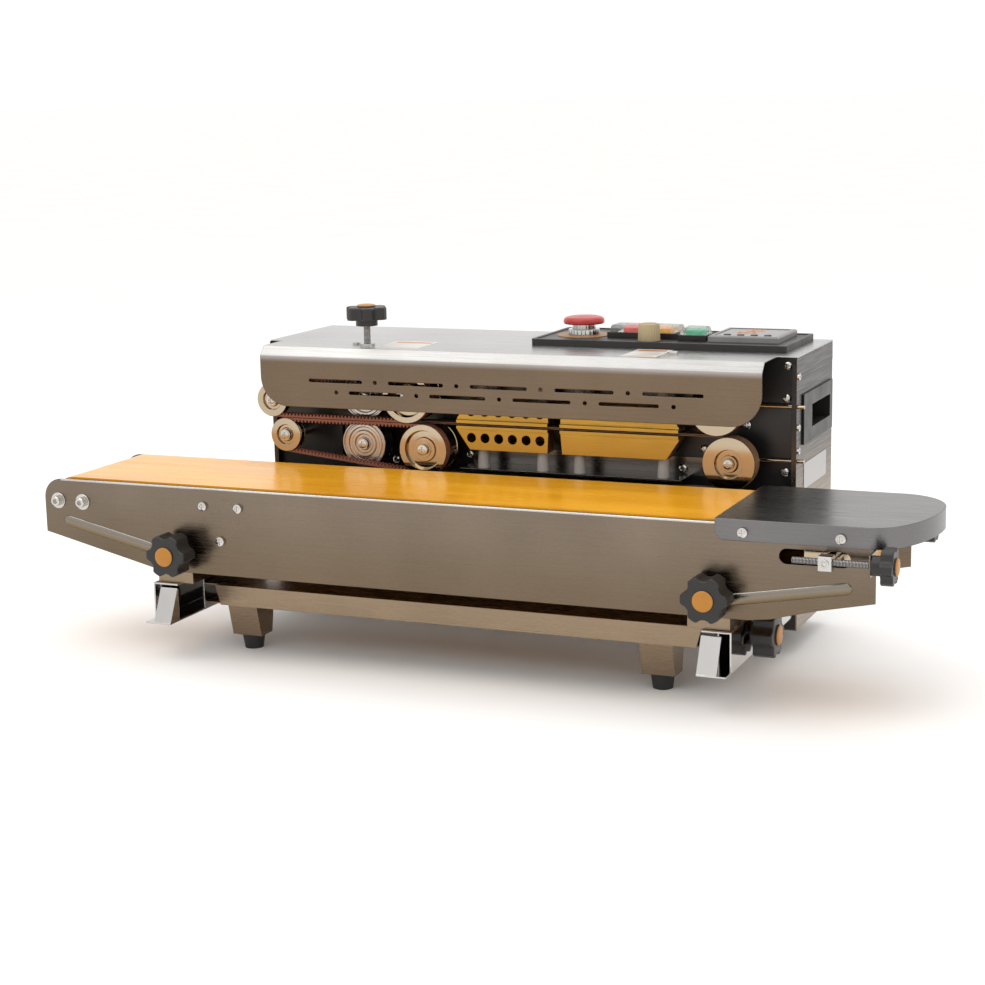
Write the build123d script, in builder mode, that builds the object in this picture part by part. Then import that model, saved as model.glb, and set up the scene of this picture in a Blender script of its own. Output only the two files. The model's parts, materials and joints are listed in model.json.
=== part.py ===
from build123d import *
from math import atan2, degrees, hypot, pi
import os

# Continuous band sealer: conveyor, sealing head and base, one STEP file per piece.
#
# Lengths are in millimetres. Positions are given from the datum of the machine: x to the right from
# the left end of the conveyor's side plates, y backwards from the outer face of the front side plate,
# z up from the floor. The model's own origin is the middle of its footprint, on the floor.

os.makedirs("parts", exist_ok=True)

# ---------------------------------------------------------------- driving dimensions
X0 = -450.0  # datum x in the model's frame
Y0 = -157.5  # datum y in the model's frame
SHEET = 1.5  # stainless sheet of the conveyor and the cabinet
FIT = 0.3  # clearance between parts that move past each other
RUNNING = 0.05  # radial clearance of a shaft in its bore

PLATE_LENGTH = 860.0  # conveyor side plates
PLATE_TOP = 177.5
PLATE_BOTTOM = 90.0
CONVEYOR_WIDTH = 150.0
HEAD = 2.4  # height of a pan head
BELT_THICKNESS = 2.0
BELT_Y = (7.0, 143.0)
END_ROLLER = (31.0, 155.0, 24.0)  # x, z and the radius over the belt
TAIL_ROLLER = (820.0, 151.0, 28.0)
DRIVE_ROLLER = (208.0, 148.0, 16.0)  # x, z and the roller's own radius
TABLE_X = (716.0, 900.0)
TABLE_TOP = 182.0

CABINET_X = (155.0, 735.0)
CABINET_Z = (25.0, 299.5)
FLAP_X = (171.0, 714.5)
FLAP_Y = 154.5
FLAP_BOTTOM = 237.0
PANEL_Y = (212.0, 214.0)  # black front panel of the head
BEZEL_TOP = 306.0

SEAL_Z = 223.5  # plane in which the bag's mouth is sealed
BAND_Y = (176.0, 190.0)  # sealing bands
BAND_THICKNESS = 0.8
GUIDE_Y = (163.5, 171.5)  # toothed guide belts
GUIDE_THICKNESS = 4.2
RUN = 26.5  # radius over a band or belt on its wheel
LOWER_DRIVE = (354.0, SEAL_Z - 0.3 - RUN)
UPPER_DRIVE = (336.0, SEAL_Z + 0.3 + RUN)
LOWER_TENSION = (676.0, SEAL_Z - 0.3 - RUN)
UPPER_TENSION = (663.0, SEAL_Z + 0.3 + RUN)
IDLER_RUN = 18.0
LOWER_IDLER = (194.0, SEAL_Z - 0.3 - IDLER_RUN)
UPPER_IDLER = (179.0, SEAL_Z + 0.3 + IDLER_RUN)
PRESS_RADIUS = 25.0
LOWER_PRESS = (281.0, SEAL_Z - 0.3 - PRESS_RADIUS)
UPPER_PRESS = (283.0, SEAL_Z + 0.3 + PRESS_RADIUS)
SHAFT = 6.0  # radius of the wheel shafts

RAIL_BOTTOM = 40.0  # cross rails
RAIL_TOP = 78.0
LEFT_RAIL_X = (128.0, 156.0)
RIGHT_RAIL_X = (704.0, 732.0)
FRONT_RAIL_Y = 44.0
FRONT_RAIL_Z = (47.0, 67.7)
CLAMP_Z = 112.5
CLAMP_X = (160.0, 714.0)
RAIL_STUD = (64.0, 61.0)  # y and z of the stud in the right cross rail
TENSION_ROD = (-15.0, 152.0)  # y and z of the front tension rod
KNOB_RADIUS = 21.8
CAP_RADIUS = 9.8


# ---------------------------------------------------------------- helpers
def from_front(y):
    """Plane seen from the front: sketch x right, sketch y up, extruded towards the viewer."""
    return Plane(origin=(X0, Y0 + y, 0), x_dir=(1, 0, 0), z_dir=(0, -1, 0))


def from_right(x):
    """Plane seen from the right end: sketch x backwards, sketch y up, extruded to the right."""
    return Plane(origin=(X0 + x, Y0, 0), x_dir=(0, 1, 0), z_dir=(1, 0, 0))


def from_front_at(x, z, y):
    """Plane seen from the front with its origin on a point."""
    return Plane(origin=(X0 + x, Y0 + y, z), x_dir=(1, 0, 0), z_dir=(0, -1, 0))


def from_right_at(y, z, x):
    """Plane seen from the right end with its origin on a point."""
    return Plane(origin=(X0 + x, Y0 + y, z), x_dir=(0, 1, 0), z_dir=(1, 0, 0))


def from_top(z):
    """Plane seen from above, extruded upwards."""
    return Plane(origin=(X0, Y0, z), x_dir=(1, 0, 0), z_dir=(0, 0, 1))


def finish(piece, name):
    """Label a finished piece and write its STEP file."""
    piece.part.label = name
    export_step(piece.part, f"parts/{name}.step")


def slab(x, y, z, mode=Mode.ADD):
    """Box between two x, two y and two z positions."""
    with Locations((X0 + sum(x) / 2, Y0 + sum(y) / 2, sum(z) / 2)):
        Box(x[1] - x[0], y[1] - y[0], z[1] - z[0], mode=mode)


def rod_y(x, z, y, radius, mode=Mode.ADD):
    """Cylinder along y between two y positions."""
    with BuildSketch(from_front(y[1])) as section:
        with Locations((x, z)):
            Circle(radius)
    extrude(section.sketch, amount=y[1] - y[0], mode=mode)


def rod_x(y, z, x, radius, mode=Mode.ADD):
    """Cylinder along x between two x positions."""
    with BuildSketch(from_right(x[0])) as section:
        with Locations((y, z)):
            Circle(radius)
    extrude(section.sketch, amount=x[1] - x[0], mode=mode)


def rod_z(x, y, z, radius, mode=Mode.ADD):
    """Cylinder along z between two z positions."""
    with BuildSketch(from_top(z[0])) as section:
        with Locations((x, y)):
            Circle(radius)
    extrude(section.sketch, amount=z[1] - z[0], mode=mode)


def turned_y(x, z, profile, mode=Mode.ADD):
    """Wheel turned about an axle along y, from (radius, y) points."""
    axle = Plane(origin=(X0 + x, Y0, z), x_dir=(1, 0, 0), z_dir=(0, 0, 1))
    with BuildSketch(axle) as section:
        with BuildLine():
            Polyline(*profile, close=True)
        make_face()
    revolve(section.sketch, axis=Axis(axle.origin, (0, 1, 0)), mode=mode)


def turned_z(x, y, profile):
    """Knob or cap turned about a vertical axis, from (radius, z) points."""
    upright = Plane(origin=(X0 + x, Y0 + y, 0), x_dir=(1, 0, 0), z_dir=(0, -1, 0))
    with BuildSketch(upright) as section:
        with BuildLine():
            Polyline(*profile, close=True)
        make_face()
    revolve(section.sketch, axis=Axis(upright.origin, (0, 0, 1)))


def bent(plane, points, amount, mode=Mode.ADD):
    """Prism over a closed outline on a plane."""
    with BuildSketch(plane) as outline:
        with BuildLine():
            Polyline(*points, close=True)
        make_face()
    extrude(outline.sketch, amount=amount, mode=mode)


def slot_y(x, z, length, height, y, rotation=0.0):
    """Round-ended slot cut along y through a sheet."""
    with BuildSketch(from_front(y[1])) as opening:
        with Locations(Location((x, z, 0), (0, 0, rotation))):
            SlotOverall(length, height)
    extrude(opening.sketch, amount=y[1] - y[0], mode=Mode.SUBTRACT)


def loop(first, first_radius, second, second_radius, thickness, y):
    """Closed belt round two wheels; the radii are over the belt."""
    for inset, mode in ((0, Mode.ADD), (thickness, Mode.SUBTRACT)):
        with BuildSketch(from_front(y[1])) as outline:
            with Locations(first):
                Circle(first_radius - inset)
            with Locations(second):
                Circle(second_radius - inset)
            make_hull()
        extrude(outline.sketch, amount=y[1] - y[0], mode=mode)


def star_knob(plane, radius, thickness, hub_length, cap_radius):
    """Six-lobed knob on a plane whose normal points at the user; the hub starts on the plane."""
    lobes = 6
    scallop = radius * 0.36
    with BuildSketch(plane.offset(hub_length)) as star:
        Circle(radius)
        with PolarLocations(radius * 1.17, lobes, start_angle=180 / lobes):
            Circle(scallop, mode=Mode.SUBTRACT)
        fillet(star.vertices(), radius * 0.14)
    head = extrude(star.sketch, amount=thickness)
    rim = head.edges().group_by(Axis(plane.origin, plane.z_dir))
    fillet(rim[-1], radius * 0.09)
    with BuildSketch(plane) as hub:
        Circle(radius * 0.52)
    extrude(hub.sketch, amount=hub_length + 1)
    with BuildSketch(plane.offset(hub_length + thickness - 1)) as cap:
        Circle(cap_radius)
    extrude(cap.sketch, amount=2.2)


def toothed(plane, centre, teeth, root, tip, phase, width):
    """Gear or sprocket with straight-sided teeth, one of them centred on the phase angle."""
    pitch = 2 * pi * root / teeth
    tooth = (
        (-0.6, -pitch * 0.33), (tip - root, -pitch * 0.12),
        (tip - root, pitch * 0.12), (-0.6, pitch * 0.33),
    )
    with BuildSketch(plane) as wheel:
        with Locations(centre):
            Circle(root)
            with PolarLocations(root, teeth, start_angle=phase):
                Polygon(*tooth, align=None)
    extrude(wheel.sketch, amount=width)


# ---------------------------------------------------------------- conveyor
PLATE_OUTLINE = (
    (0.0, 122.0), (136.0, PLATE_BOTTOM), (745.0, PLATE_BOTTOM), (766.0, 92.5),
    (808.0, 103.5), (PLATE_LENGTH, 114.0), (PLATE_LENGTH, PLATE_TOP), (0.0, PLATE_TOP),
)
PLATE_CORNER = 20.0  # radius of the plate's upper left corner
REAR_PLATE_Y = (CONVEYOR_WIDTH - SHEET, CONVEYOR_WIDTH)
FLANGE = 5.5  # width of the flange turned in along the plate's top edge
FLANGE_X = (64.0, 716.0)
BEADS = (((28.0, 134.5), (122.0, 113.5)), ((732.0, 108.0), (834.0, 125.5)))
BEAD_HEIGHT = 1.4  # pressed stiffening beads
BEAD_WIDTH = 8.0
END_SCREWS = ((16.3, 155.0), (45.7, 155.0))  # left roller's bracket
BEARING_SCREWS = ((188.0, 159.3), (228.0, 159.3), (206.5, 125.0))
TABLE_SCREWS = ((742.0, 170.5), (830.0, 170.5))
SCREW = 2.5  # radius of the small screws
SCREW_HOLE = 2.6
SLOT_X = (774.0, 838.0)
SLOT_Z = (144.0, 158.0)
TAB_X = (858.5, PLATE_LENGTH)  # tab that carries the tension rod
TAB_Z = (142.0, 162.0)
TAB_REACH = 22.0
STUD = 4.0  # radius of the clamp knobs' studs
ROD = 3.0  # radius of the tension rods
AXLE = 6.0  # radius of the roller axles


def side_plate(y, flange_y, tab_y, bead_front):
    """Side plate of the conveyor: flange, tension tab, pressed beads, slot and holes."""
    with BuildSketch(from_front(y[1])) as outline:
        with BuildLine():
            Polyline(*PLATE_OUTLINE, close=True)
        make_face()
        fillet(outline.vertices().sort_by(Axis.X)[:2].sort_by(Axis.Y)[-1], PLATE_CORNER)
    extrude(outline.sketch, amount=y[1] - y[0])
    slab(FLANGE_X, flange_y, (PLATE_TOP - SHEET, PLATE_TOP))
    slab(TAB_X, tab_y, TAB_Z)
    for start, end in BEADS:
        run = hypot(end[0] - start[0], end[1] - start[1])
        slope = degrees(atan2(end[1] - start[1], end[0] - start[0]))
        middle = ((start[0] + end[0]) / 2, (start[1] + end[1]) / 2, 0)
        with BuildSketch(from_front(bead_front + BEAD_HEIGHT)) as bead:
            with Locations(Location(middle, (0, 0, slope))):
                SlotOverall(run + BEAD_WIDTH, BEAD_WIDTH)
        extrude(bead.sketch, amount=BEAD_HEIGHT)
    slot_y(sum(SLOT_X) / 2, sum(SLOT_Z) / 2, SLOT_X[1] - SLOT_X[0], SLOT_Z[1] - SLOT_Z[0], y)
    for x, z in END_SCREWS + BEARING_SCREWS + TABLE_SCREWS:
        rod_y(x, z, y, SCREW_HOLE, Mode.SUBTRACT)
    rod_y(CLAMP_X[0], CLAMP_Z, y, STUD + FIT, Mode.SUBTRACT)
    rod_y(CLAMP_X[1], CLAMP_Z, y, STUD + FIT, Mode.SUBTRACT)
    tab_middle = TENSION_ROD[0] if bead_front < 0 else CONVEYOR_WIDTH - TENSION_ROD[0]
    rod_x(tab_middle, TENSION_ROD[1], (TAB_X[0] - 1, TAB_X[1] + 1), ROD + FIT, Mode.SUBTRACT)


with BuildPart() as side_plates:
    side_plate((0.0, SHEET), (0.0, FLANGE), (-TAB_REACH, SHEET), -BEAD_HEIGHT)
    side_plate(
        REAR_PLATE_Y, (CONVEYOR_WIDTH - FLANGE, CONVEYOR_WIDTH),
        (REAR_PLATE_Y[0], CONVEYOR_WIDTH + TAB_REACH), CONVEYOR_WIDTH,
    )
finish(side_plates, "side_plates")

ROLLER_Y = (8.0, 142.0)
ROLLER_GAP = 0.5  # between a roller and the inside of the belt
with BuildPart() as conveyor_belt:
    loop(END_ROLLER[:2], END_ROLLER[2], TAIL_ROLLER[:2], TAIL_ROLLER[2], BELT_THICKNESS, BELT_Y)
finish(conveyor_belt, "conveyor_belt")

BED_X = (62.0, 783.0)
BED_Z = (PLATE_TOP - 2 * SHEET, PLATE_TOP - SHEET)
with BuildPart() as belt_bed:
    # steel sheet that carries the loaded run of the belt
    slab(BED_X, (SHEET, REAR_PLATE_Y[0]), BED_Z)
finish(belt_bed, "belt_bed")

# infeed table: a shallow pressed tray upside down, open towards the belt
TABLE_Y = (-3.0, 155.0)
TABLE_ROUND_FRONT = (853.0, 97.0)  # centres of the two elliptical corners
TABLE_ROUND_REAR = (850.0, 97.0)
SKIRT = 19.5
with BuildPart() as infeed_table:
    for inset, bottom, top, mode in (
        (0.0, TABLE_TOP - SKIRT, TABLE_TOP, Mode.ADD),
        (SHEET, TABLE_TOP - SKIRT, TABLE_TOP - SHEET, Mode.SUBTRACT),
    ):
        right = TABLE_X[1] - inset
        front = TABLE_Y[0] + inset
        rear = TABLE_Y[1] - inset
        with BuildSketch(from_top(bottom)) as tray:
            with BuildLine():
                Line((TABLE_X[0], front), (TABLE_ROUND_FRONT[0], front))
                EllipticalCenterArc(TABLE_ROUND_FRONT, right - TABLE_ROUND_FRONT[0],
                                    TABLE_ROUND_FRONT[1] - front, start_angle=270, arc_size=90)
                EllipticalCenterArc(TABLE_ROUND_REAR, right - TABLE_ROUND_REAR[0],
                                    rear - TABLE_ROUND_REAR[1], start_angle=0, arc_size=90)
                Line((TABLE_ROUND_REAR[0], rear), (TABLE_X[0], rear))
                Line((TABLE_X[0], rear), (TABLE_X[0], front))
            make_face()
        extrude(tray.sketch, amount=top - bottom, mode=mode)
    skirt_ends = infeed_table.edges().filter_by(Axis.Y).group_by(Axis.X)[0].group_by(Axis.Z)[0]
    fillet(skirt_ends, 9)
    for x, z in TABLE_SCREWS:
        rod_y(x, z, (TABLE_Y[0], TABLE_Y[0] + SHEET), SCREW_HOLE, Mode.SUBTRACT)
        rod_y(x, z, (TABLE_Y[1] - SHEET, TABLE_Y[1]), SCREW_HOLE, Mode.SUBTRACT)
finish(infeed_table, "infeed_table")


def hollow_roller(x, z, radius, wall, bore):
    """Roller made of a tube with a disc in each end, bored for its axle."""
    disc = 5.0
    inside = (ROLLER_Y[0] + disc, ROLLER_Y[1] - disc)
    turned_y(x, z, ((bore, ROLLER_Y[0]), (radius, ROLLER_Y[0]), (radius, ROLLER_Y[1]),
                    (bore, ROLLER_Y[1]), (bore, inside[1]), (radius - wall, inside[1]),
                    (radius - wall, inside[0]), (bore, inside[0])))


with BuildPart() as end_roller:
    hollow_roller(*END_ROLLER[:2], END_ROLLER[2] - BELT_THICKNESS - ROLLER_GAP, 3.0, AXLE + RUNNING)
finish(end_roller, "end_roller")

with BuildPart() as roller_supports:
    # fixed axle of the end roller with its brackets, and the drive roller's two bearings
    rod_y(END_ROLLER[0], END_ROLLER[1], (SHEET, REAR_PLATE_Y[0]), AXLE)
    for y in ((SHEET, 5.0), (CONVEYOR_WIDTH - 5.0, REAR_PLATE_Y[0])):
        slab((8.0, 54.0), y, (147.0, 163.0))
    for y in ((SHEET, 7.0), (CONVEYOR_WIDTH - 7.0, REAR_PLATE_Y[0])):
        rod_y(DRIVE_ROLLER[0], DRIVE_ROLLER[1], y, 19.0)
        rod_y(DRIVE_ROLLER[0], DRIVE_ROLLER[1], y, 8.0 + RUNNING, Mode.SUBTRACT)
finish(roller_supports, "roller_supports")

with BuildPart() as tail_roller:
    hollow_roller(*TAIL_ROLLER[:2], TAIL_ROLLER[2] - BELT_THICKNESS - ROLLER_GAP, 3.0, AXLE + RUNNING)
finish(tail_roller, "tail_roller")

END_BLOCK = 12.0  # square blocks on the ends of the tail roller's axle
with BuildPart() as tail_roller_axle:
    rod_y(TAIL_ROLLER[0], TAIL_ROLLER[1], (-21, CONVEYOR_WIDTH + 21), AXLE)
    for rod_y_position in (TENSION_ROD[0], CONVEYOR_WIDTH - TENSION_ROD[0]):
        block_y = (rod_y_position - END_BLOCK / 2, rod_y_position + END_BLOCK / 2)
        slab((TAIL_ROLLER[0] - 6, TAIL_ROLLER[0] + 6), block_y, (145, 158))
        rod_x(rod_y_position, TENSION_ROD[1], (TAIL_ROLLER[0] - 8, TAIL_ROLLER[0] + 8),
              ROD + RUNNING, Mode.SUBTRACT)
finish(tail_roller_axle, "tail_roller_axle")

with BuildPart() as conveyor_drive_roller:
    rod_y(DRIVE_ROLLER[0], DRIVE_ROLLER[1], ROLLER_Y, DRIVE_ROLLER[2] - ROLLER_GAP)
    rod_y(DRIVE_ROLLER[0], DRIVE_ROLLER[1], (2.0, REAR_PLATE_Y[0] - 0.5), 8.0)
finish(conveyor_drive_roller, "conveyor_drive_roller")


def tension_knob(y):
    """Small lobed knob with its threaded rod, reaching in to the axle's end block."""
    star_knob(from_right_at(y, TENSION_ROD[1], 860.4), 17.0, 11.0, 9.0, 8.0)
    rod_x(y, TENSION_ROD[1], (790.0, 862.0), ROD)


with BuildPart() as front_tension_knob:
    tension_knob(TENSION_ROD[0])
finish(front_tension_knob, "front_tension_knob")

with BuildPart() as rear_tension_knob:
    tension_knob(CONVEYOR_WIDTH - TENSION_ROD[0])
finish(rear_tension_knob, "rear_tension_knob")

TAB_FRONT_Y = (SHEET + FIT, SHEET + FIT + 2.0)  # upright tab of a slide bracket
STUD_END = TAB_FRONT_Y[1] + 4.4
with BuildPart() as left_clamp_knob:
    star_knob(from_front_at(CLAMP_X[0], CLAMP_Z, -0.4), KNOB_RADIUS, 22.0, 9.4, CAP_RADIUS)
    rod_y(CLAMP_X[0], CLAMP_Z, (-2, STUD_END), STUD)
finish(left_clamp_knob, "left_clamp_knob")

with BuildPart() as right_clamp_knob:
    star_knob(from_front_at(CLAMP_X[1], CLAMP_Z, -0.4), KNOB_RADIUS, 22.0, 9.4, CAP_RADIUS)
    rod_y(CLAMP_X[1], CLAMP_Z, (-2, STUD_END), STUD)
finish(right_clamp_knob, "right_clamp_knob")

with BuildPart() as conveyor_fasteners:
    # small pan heads: three round each drive roller bearing and two on each side of the table
    for x, z in BEARING_SCREWS:
        rod_y(x, z, (-HEAD, 0), 4.4)
        rod_y(x, z, (0, SHEET), SCREW)
        rod_y(x, z, (CONVEYOR_WIDTH, CONVEYOR_WIDTH + HEAD), 4.4)
        rod_y(x, z, REAR_PLATE_Y, SCREW)
    for x, z in TABLE_SCREWS:
        rod_y(x, z, (TABLE_Y[0] - HEAD, TABLE_Y[0]), 4.4)
        rod_y(x, z, (TABLE_Y[0], SHEET), SCREW)
        rod_y(x, z, (TABLE_Y[1], TABLE_Y[1] + HEAD), 4.4)
        rod_y(x, z, (REAR_PLATE_Y[0], TABLE_Y[1]), SCREW)
    # socket heads on washers at the left end
    for x, z in END_SCREWS:
        turned_y(x, z, ((0, SHEET), (SCREW, SHEET), (SCREW, 0), (7.6, 0), (7.6, -1.2), (4.9, -1.2),
                        (4.9, -6.2), (2.6, -6.2), (2.6, -3.2), (0, -3.2)))
        turned_y(x, z, ((0, REAR_PLATE_Y[0]), (SCREW, REAR_PLATE_Y[0]), (SCREW, CONVEYOR_WIDTH),
                        (7.6, CONVEYOR_WIDTH), (7.6, CONVEYOR_WIDTH + 1.2),
                        (4.9, CONVEYOR_WIDTH + 1.2), (4.9, CONVEYOR_WIDTH + 6.2),
                        (0, CONVEYOR_WIDTH + 6.2)))
    # hexagon nuts behind the upright tabs of the slide brackets
    for x in CLAMP_X:
        with BuildSketch(from_front(STUD_END)) as nut:
            with Locations((x, CLAMP_Z)):
                RegularPolygon(7.5, 6)
                Circle(STUD + RUNNING, mode=Mode.SUBTRACT)
        extrude(nut.sketch, amount=STUD_END - TAB_FRONT_Y[1] - FIT)
finish(conveyor_fasteners, "conveyor_fasteners")

# ---------------------------------------------------------------- base
BRACKET_Z = (RAIL_TOP + FIT, RAIL_TOP + FIT + 2.0)
BRACKET_X = ((131.0, 171.0), (689.0, 729.0))
BRACKET_Y = (TAB_FRONT_Y[0], REAR_PLATE_Y[0] - FIT)
BRACKET_TAB_TOP = 142.0
LEG_X = (727.0, 729.0)
LEG_Y = (45.0, 82.0)
RAIL_ROD = 3.0  # radius of the stud in the right cross rail
with BuildPart() as slide_brackets:
    for x, clamp in zip(BRACKET_X, CLAMP_X):
        slab(x, BRACKET_Y, BRACKET_Z)
        slab(x, TAB_FRONT_Y, (BRACKET_Z[0], BRACKET_TAB_TOP))
        slab(x, (BRACKET_Y[1] - 2.0, BRACKET_Y[1]), (BRACKET_Z[0], BRACKET_TAB_TOP))
        slab((x[0], x[0] + 2.0), BRACKET_Y, (BRACKET_Z[0], 95.0))
        slab((x[1] - 2.0, x[1]), BRACKET_Y, (BRACKET_Z[0], 95.0))
        for y in (TAB_FRONT_Y, (BRACKET_Y[1] - 2.0, BRACKET_Y[1])):
            slot_y(clamp, 119.0, 40.0, 2 * (STUD + FIT), y, 90.0)
    # outer leg that hangs through the right rail, with a welded nut
    slab(LEG_X, LEG_Y, (50.0, BRACKET_Z[1]))
    rod_x(RAIL_STUD[0], RAIL_STUD[1], (721.0, LEG_X[0]), 6.5)
    rod_x(RAIL_STUD[0], RAIL_STUD[1], (720.0, LEG_X[1]), RAIL_ROD + RUNNING, Mode.SUBTRACT)
finish(slide_brackets, "slide_brackets")

with BuildPart() as right_rail_knob:
    star_knob(from_right_at(*RAIL_STUD, RIGHT_RAIL_X[1] + 0.4), KNOB_RADIUS, 20.0, 4.0, CAP_RADIUS)
    rod_x(RAIL_STUD[0], RAIL_STUD[1], (721.0, RIGHT_RAIL_X[1] + 2), RAIL_ROD)
finish(right_rail_knob, "right_rail_knob")

RAIL_Y = (-4.0, PANEL_Y[0])
TOE_Y = -21.0  # front end of a rail's bottom flange
with BuildPart() as cross_rails:
    # channels that open inwards, each closed in front by a slanted toe
    for x, web, toe, side in (
        (LEFT_RAIL_X, LEFT_RAIL_X[0], (137.0, 156.0), 154.5),
        (RIGHT_RAIL_X, RIGHT_RAIL_X[1] - SHEET, (704.0, 723.0), 704.0),
    ):
        slab((web, web + SHEET), RAIL_Y, (RAIL_BOTTOM, RAIL_TOP))
        slab(x, RAIL_Y, (RAIL_TOP - SHEET, RAIL_TOP))
        slab(x, (TOE_Y, RAIL_Y[1]), (RAIL_BOTTOM, RAIL_BOTTOM + SHEET))
        bent(from_right(toe[0]),
             ((TOE_Y, RAIL_BOTTOM), (TOE_Y + 2, RAIL_BOTTOM), (-3, 74), (-5, 74)), toe[1] - toe[0])
        bent(from_right(side),
             ((TOE_Y + 1, RAIL_BOTTOM), (-3, RAIL_BOTTOM), (-3, 74), (-5, 74)), SHEET)
        slab((side, side + SHEET), (46.0, 82.0), (RAIL_BOTTOM, RAIL_TOP))
    # way for the clamping leg and its stud in the right rail
    slab((LEG_X[0] - 1, LEG_X[1] + 1), (13.0, 90.0), (RAIL_TOP - SHEET, RAIL_TOP), Mode.SUBTRACT)
    with BuildSketch(from_right(RIGHT_RAIL_X[1] - SHEET)) as stud_slot:
        with Locations((RAIL_STUD[0] - 12.0, RAIL_STUD[1])):
            SlotOverall(46.0, 2 * RAIL_ROD + 2)
    extrude(stud_slot.sketch, amount=SHEET, mode=Mode.SUBTRACT)
finish(cross_rails, "cross_rails")

RAIL_DEPTH = 84.0
FOOT_X = (202.0, 645.0)
FOOT_BRACKET_X = ((185.0, 218.0), (628.0, 661.0))
FOOT_TOP = 15.0
with BuildPart() as front_base_rail:
    # channel between the cross rails; its web's ends slant
    web_ends = ((170.0, FRONT_RAIL_Z[1]), (176.0, FRONT_RAIL_Z[0]),
                (684.0, FRONT_RAIL_Z[0]), (690.0, FRONT_RAIL_Z[1]))
    bent(from_front(FRONT_RAIL_Y + SHEET), web_ends, SHEET)
    for z in (FRONT_RAIL_Z[0], FRONT_RAIL_Z[1] - SHEET):
        slab((176.0, 684.0), (FRONT_RAIL_Y, RAIL_DEPTH), (z, z + SHEET))
        slab((LEFT_RAIL_X[1], RIGHT_RAIL_X[0]), (FRONT_RAIL_Y + 4, RAIL_DEPTH - 4), (z, z + SHEET))
    # bent foot brackets welded underneath
    for x in FOOT_BRACKET_X:
        bent(from_right(x[0]), ((44, FRONT_RAIL_Z[0]), (80, FRONT_RAIL_Z[0]), (74, FOOT_TOP),
                                (52, FOOT_TOP)), x[1] - x[0])
        bent(from_right(x[0] + SHEET), ((45.6, FRONT_RAIL_Z[0]), (85, FRONT_RAIL_Z[0]),
                                        (85, FOOT_TOP + SHEET), (53.2, FOOT_TOP + SHEET)),
             x[1] - x[0] - 2 * SHEET, Mode.SUBTRACT)
finish(front_base_rail, "front_base_rail")

REAR_FOOT_Y = 325.0
with BuildPart() as rubber_feet:
    for x in FOOT_X:
        turned_z(x, 64.0, ((0, 0), (9.5, 0), (11.8, FOOT_TOP), (0, FOOT_TOP)))
        turned_z(x, REAR_FOOT_Y, ((0, 0), (10.5, 0), (13.5, CABINET_Z[0]), (0, CABINET_Z[0])))
finish(rubber_feet, "rubber_feet")

# ---------------------------------------------------------------- cabinet
COVER = 1.2  # sheet of the top cover
COVER_UNDER = CABINET_Z[1] - COVER
INSIDE_X = (CABINET_X[0] + SHEET, CABINET_X[1] - SHEET)
REAR_PANEL_Y = (345.3, 346.8)
COVER_REAR = 348.0
DRIVE_BEARING = 11.0
DRIVE_SHAFT_HOLE = DRIVE_BEARING + RUNNING
SLIDER_SLOT = 40.0
VENT = (258.0, 198.0)  # vent behind the guide belts
with BuildPart() as front_panel:
    slab(INSIDE_X, PANEL_Y, (CABINET_Z[0] + SHEET, COVER_UNDER))
    for x, z in (LOWER_DRIVE, UPPER_DRIVE):
        rod_y(x, z, PANEL_Y, DRIVE_SHAFT_HOLE, Mode.SUBTRACT)
    for x, z in (LOWER_TENSION, UPPER_TENSION):
        slot_y(x - 3.0, z, SLIDER_SLOT, 10.0, PANEL_Y)
    for step in range(7):
        slot_y(VENT[0] - 21.0 + 7.0 * step, VENT[1], 44.0, 3.4, PANEL_Y, 90.0)
finish(front_panel, "front_panel")


def side_panel(x, flange_x, holes):
    """End wall of the cabinet with a front flange and a window for the carrying handle."""
    slab(x, (205.0, REAR_PANEL_Y[1]), (CABINET_Z[0], COVER_UNDER))
    slab(flange_x, (205.0, 206.5), (RAIL_TOP + 4, 292.0))
    slab(x, (205.0, PANEL_Y[0]), (CABINET_Z[0], RAIL_TOP + 2), Mode.SUBTRACT)
    slab(x, HANDLE_WINDOW_Y, HANDLE_WINDOW_Z, Mode.SUBTRACT)
    for z in holes:
        rod_x(ROD_Y, z, (x[0] - 1, x[1] + 1), ROD_RADIUS + FIT, Mode.SUBTRACT)


HANDLE_WINDOW_Y = (230.0, 338.0)
HANDLE_WINDOW_Z = (213.0, 257.0)
GRIP_Y = (258.0, 331.0)
GRIP_Z = (223.5, 246.0)
ROD_Y = 208.6  # tension rods of the wheel sliders
ROD_RADIUS = 2.0
with BuildPart() as side_panels:
    side_panel((INSIDE_X[1], CABINET_X[1]), (CABINET_X[1] - 5, CABINET_X[1]),
               (LOWER_TENSION[1], UPPER_TENSION[1]))
    side_panel((CABINET_X[0], INSIDE_X[0]), (CABINET_X[0], CABINET_X[0] + 5), ())
finish(side_panels, "side_panels")

GRIP_DEPTH = 24.0
with BuildPart() as carry_handles:
    # moulded bezel and grip pocket in each end wall
    for face, outward in ((CABINET_X[1], 1), (CABINET_X[0], -1)):
        bezel = sorted((face, face + 2.0 * outward))
        cup = sorted((face + 2.0 * outward, face - GRIP_DEPTH * outward))
        slab(bezel, (227.0, 341.0), (210.0, 260.0))
        slab(cup, (GRIP_Y[0] - 2, GRIP_Y[1] + 2), (GRIP_Z[0] - 2, GRIP_Z[1] + 2))
        pocket = sorted((face + 3.0 * outward, face - (GRIP_DEPTH - 2) * outward))
        slab(pocket, GRIP_Y, GRIP_Z, Mode.SUBTRACT)
finish(carry_handles, "carry_handles")

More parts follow.
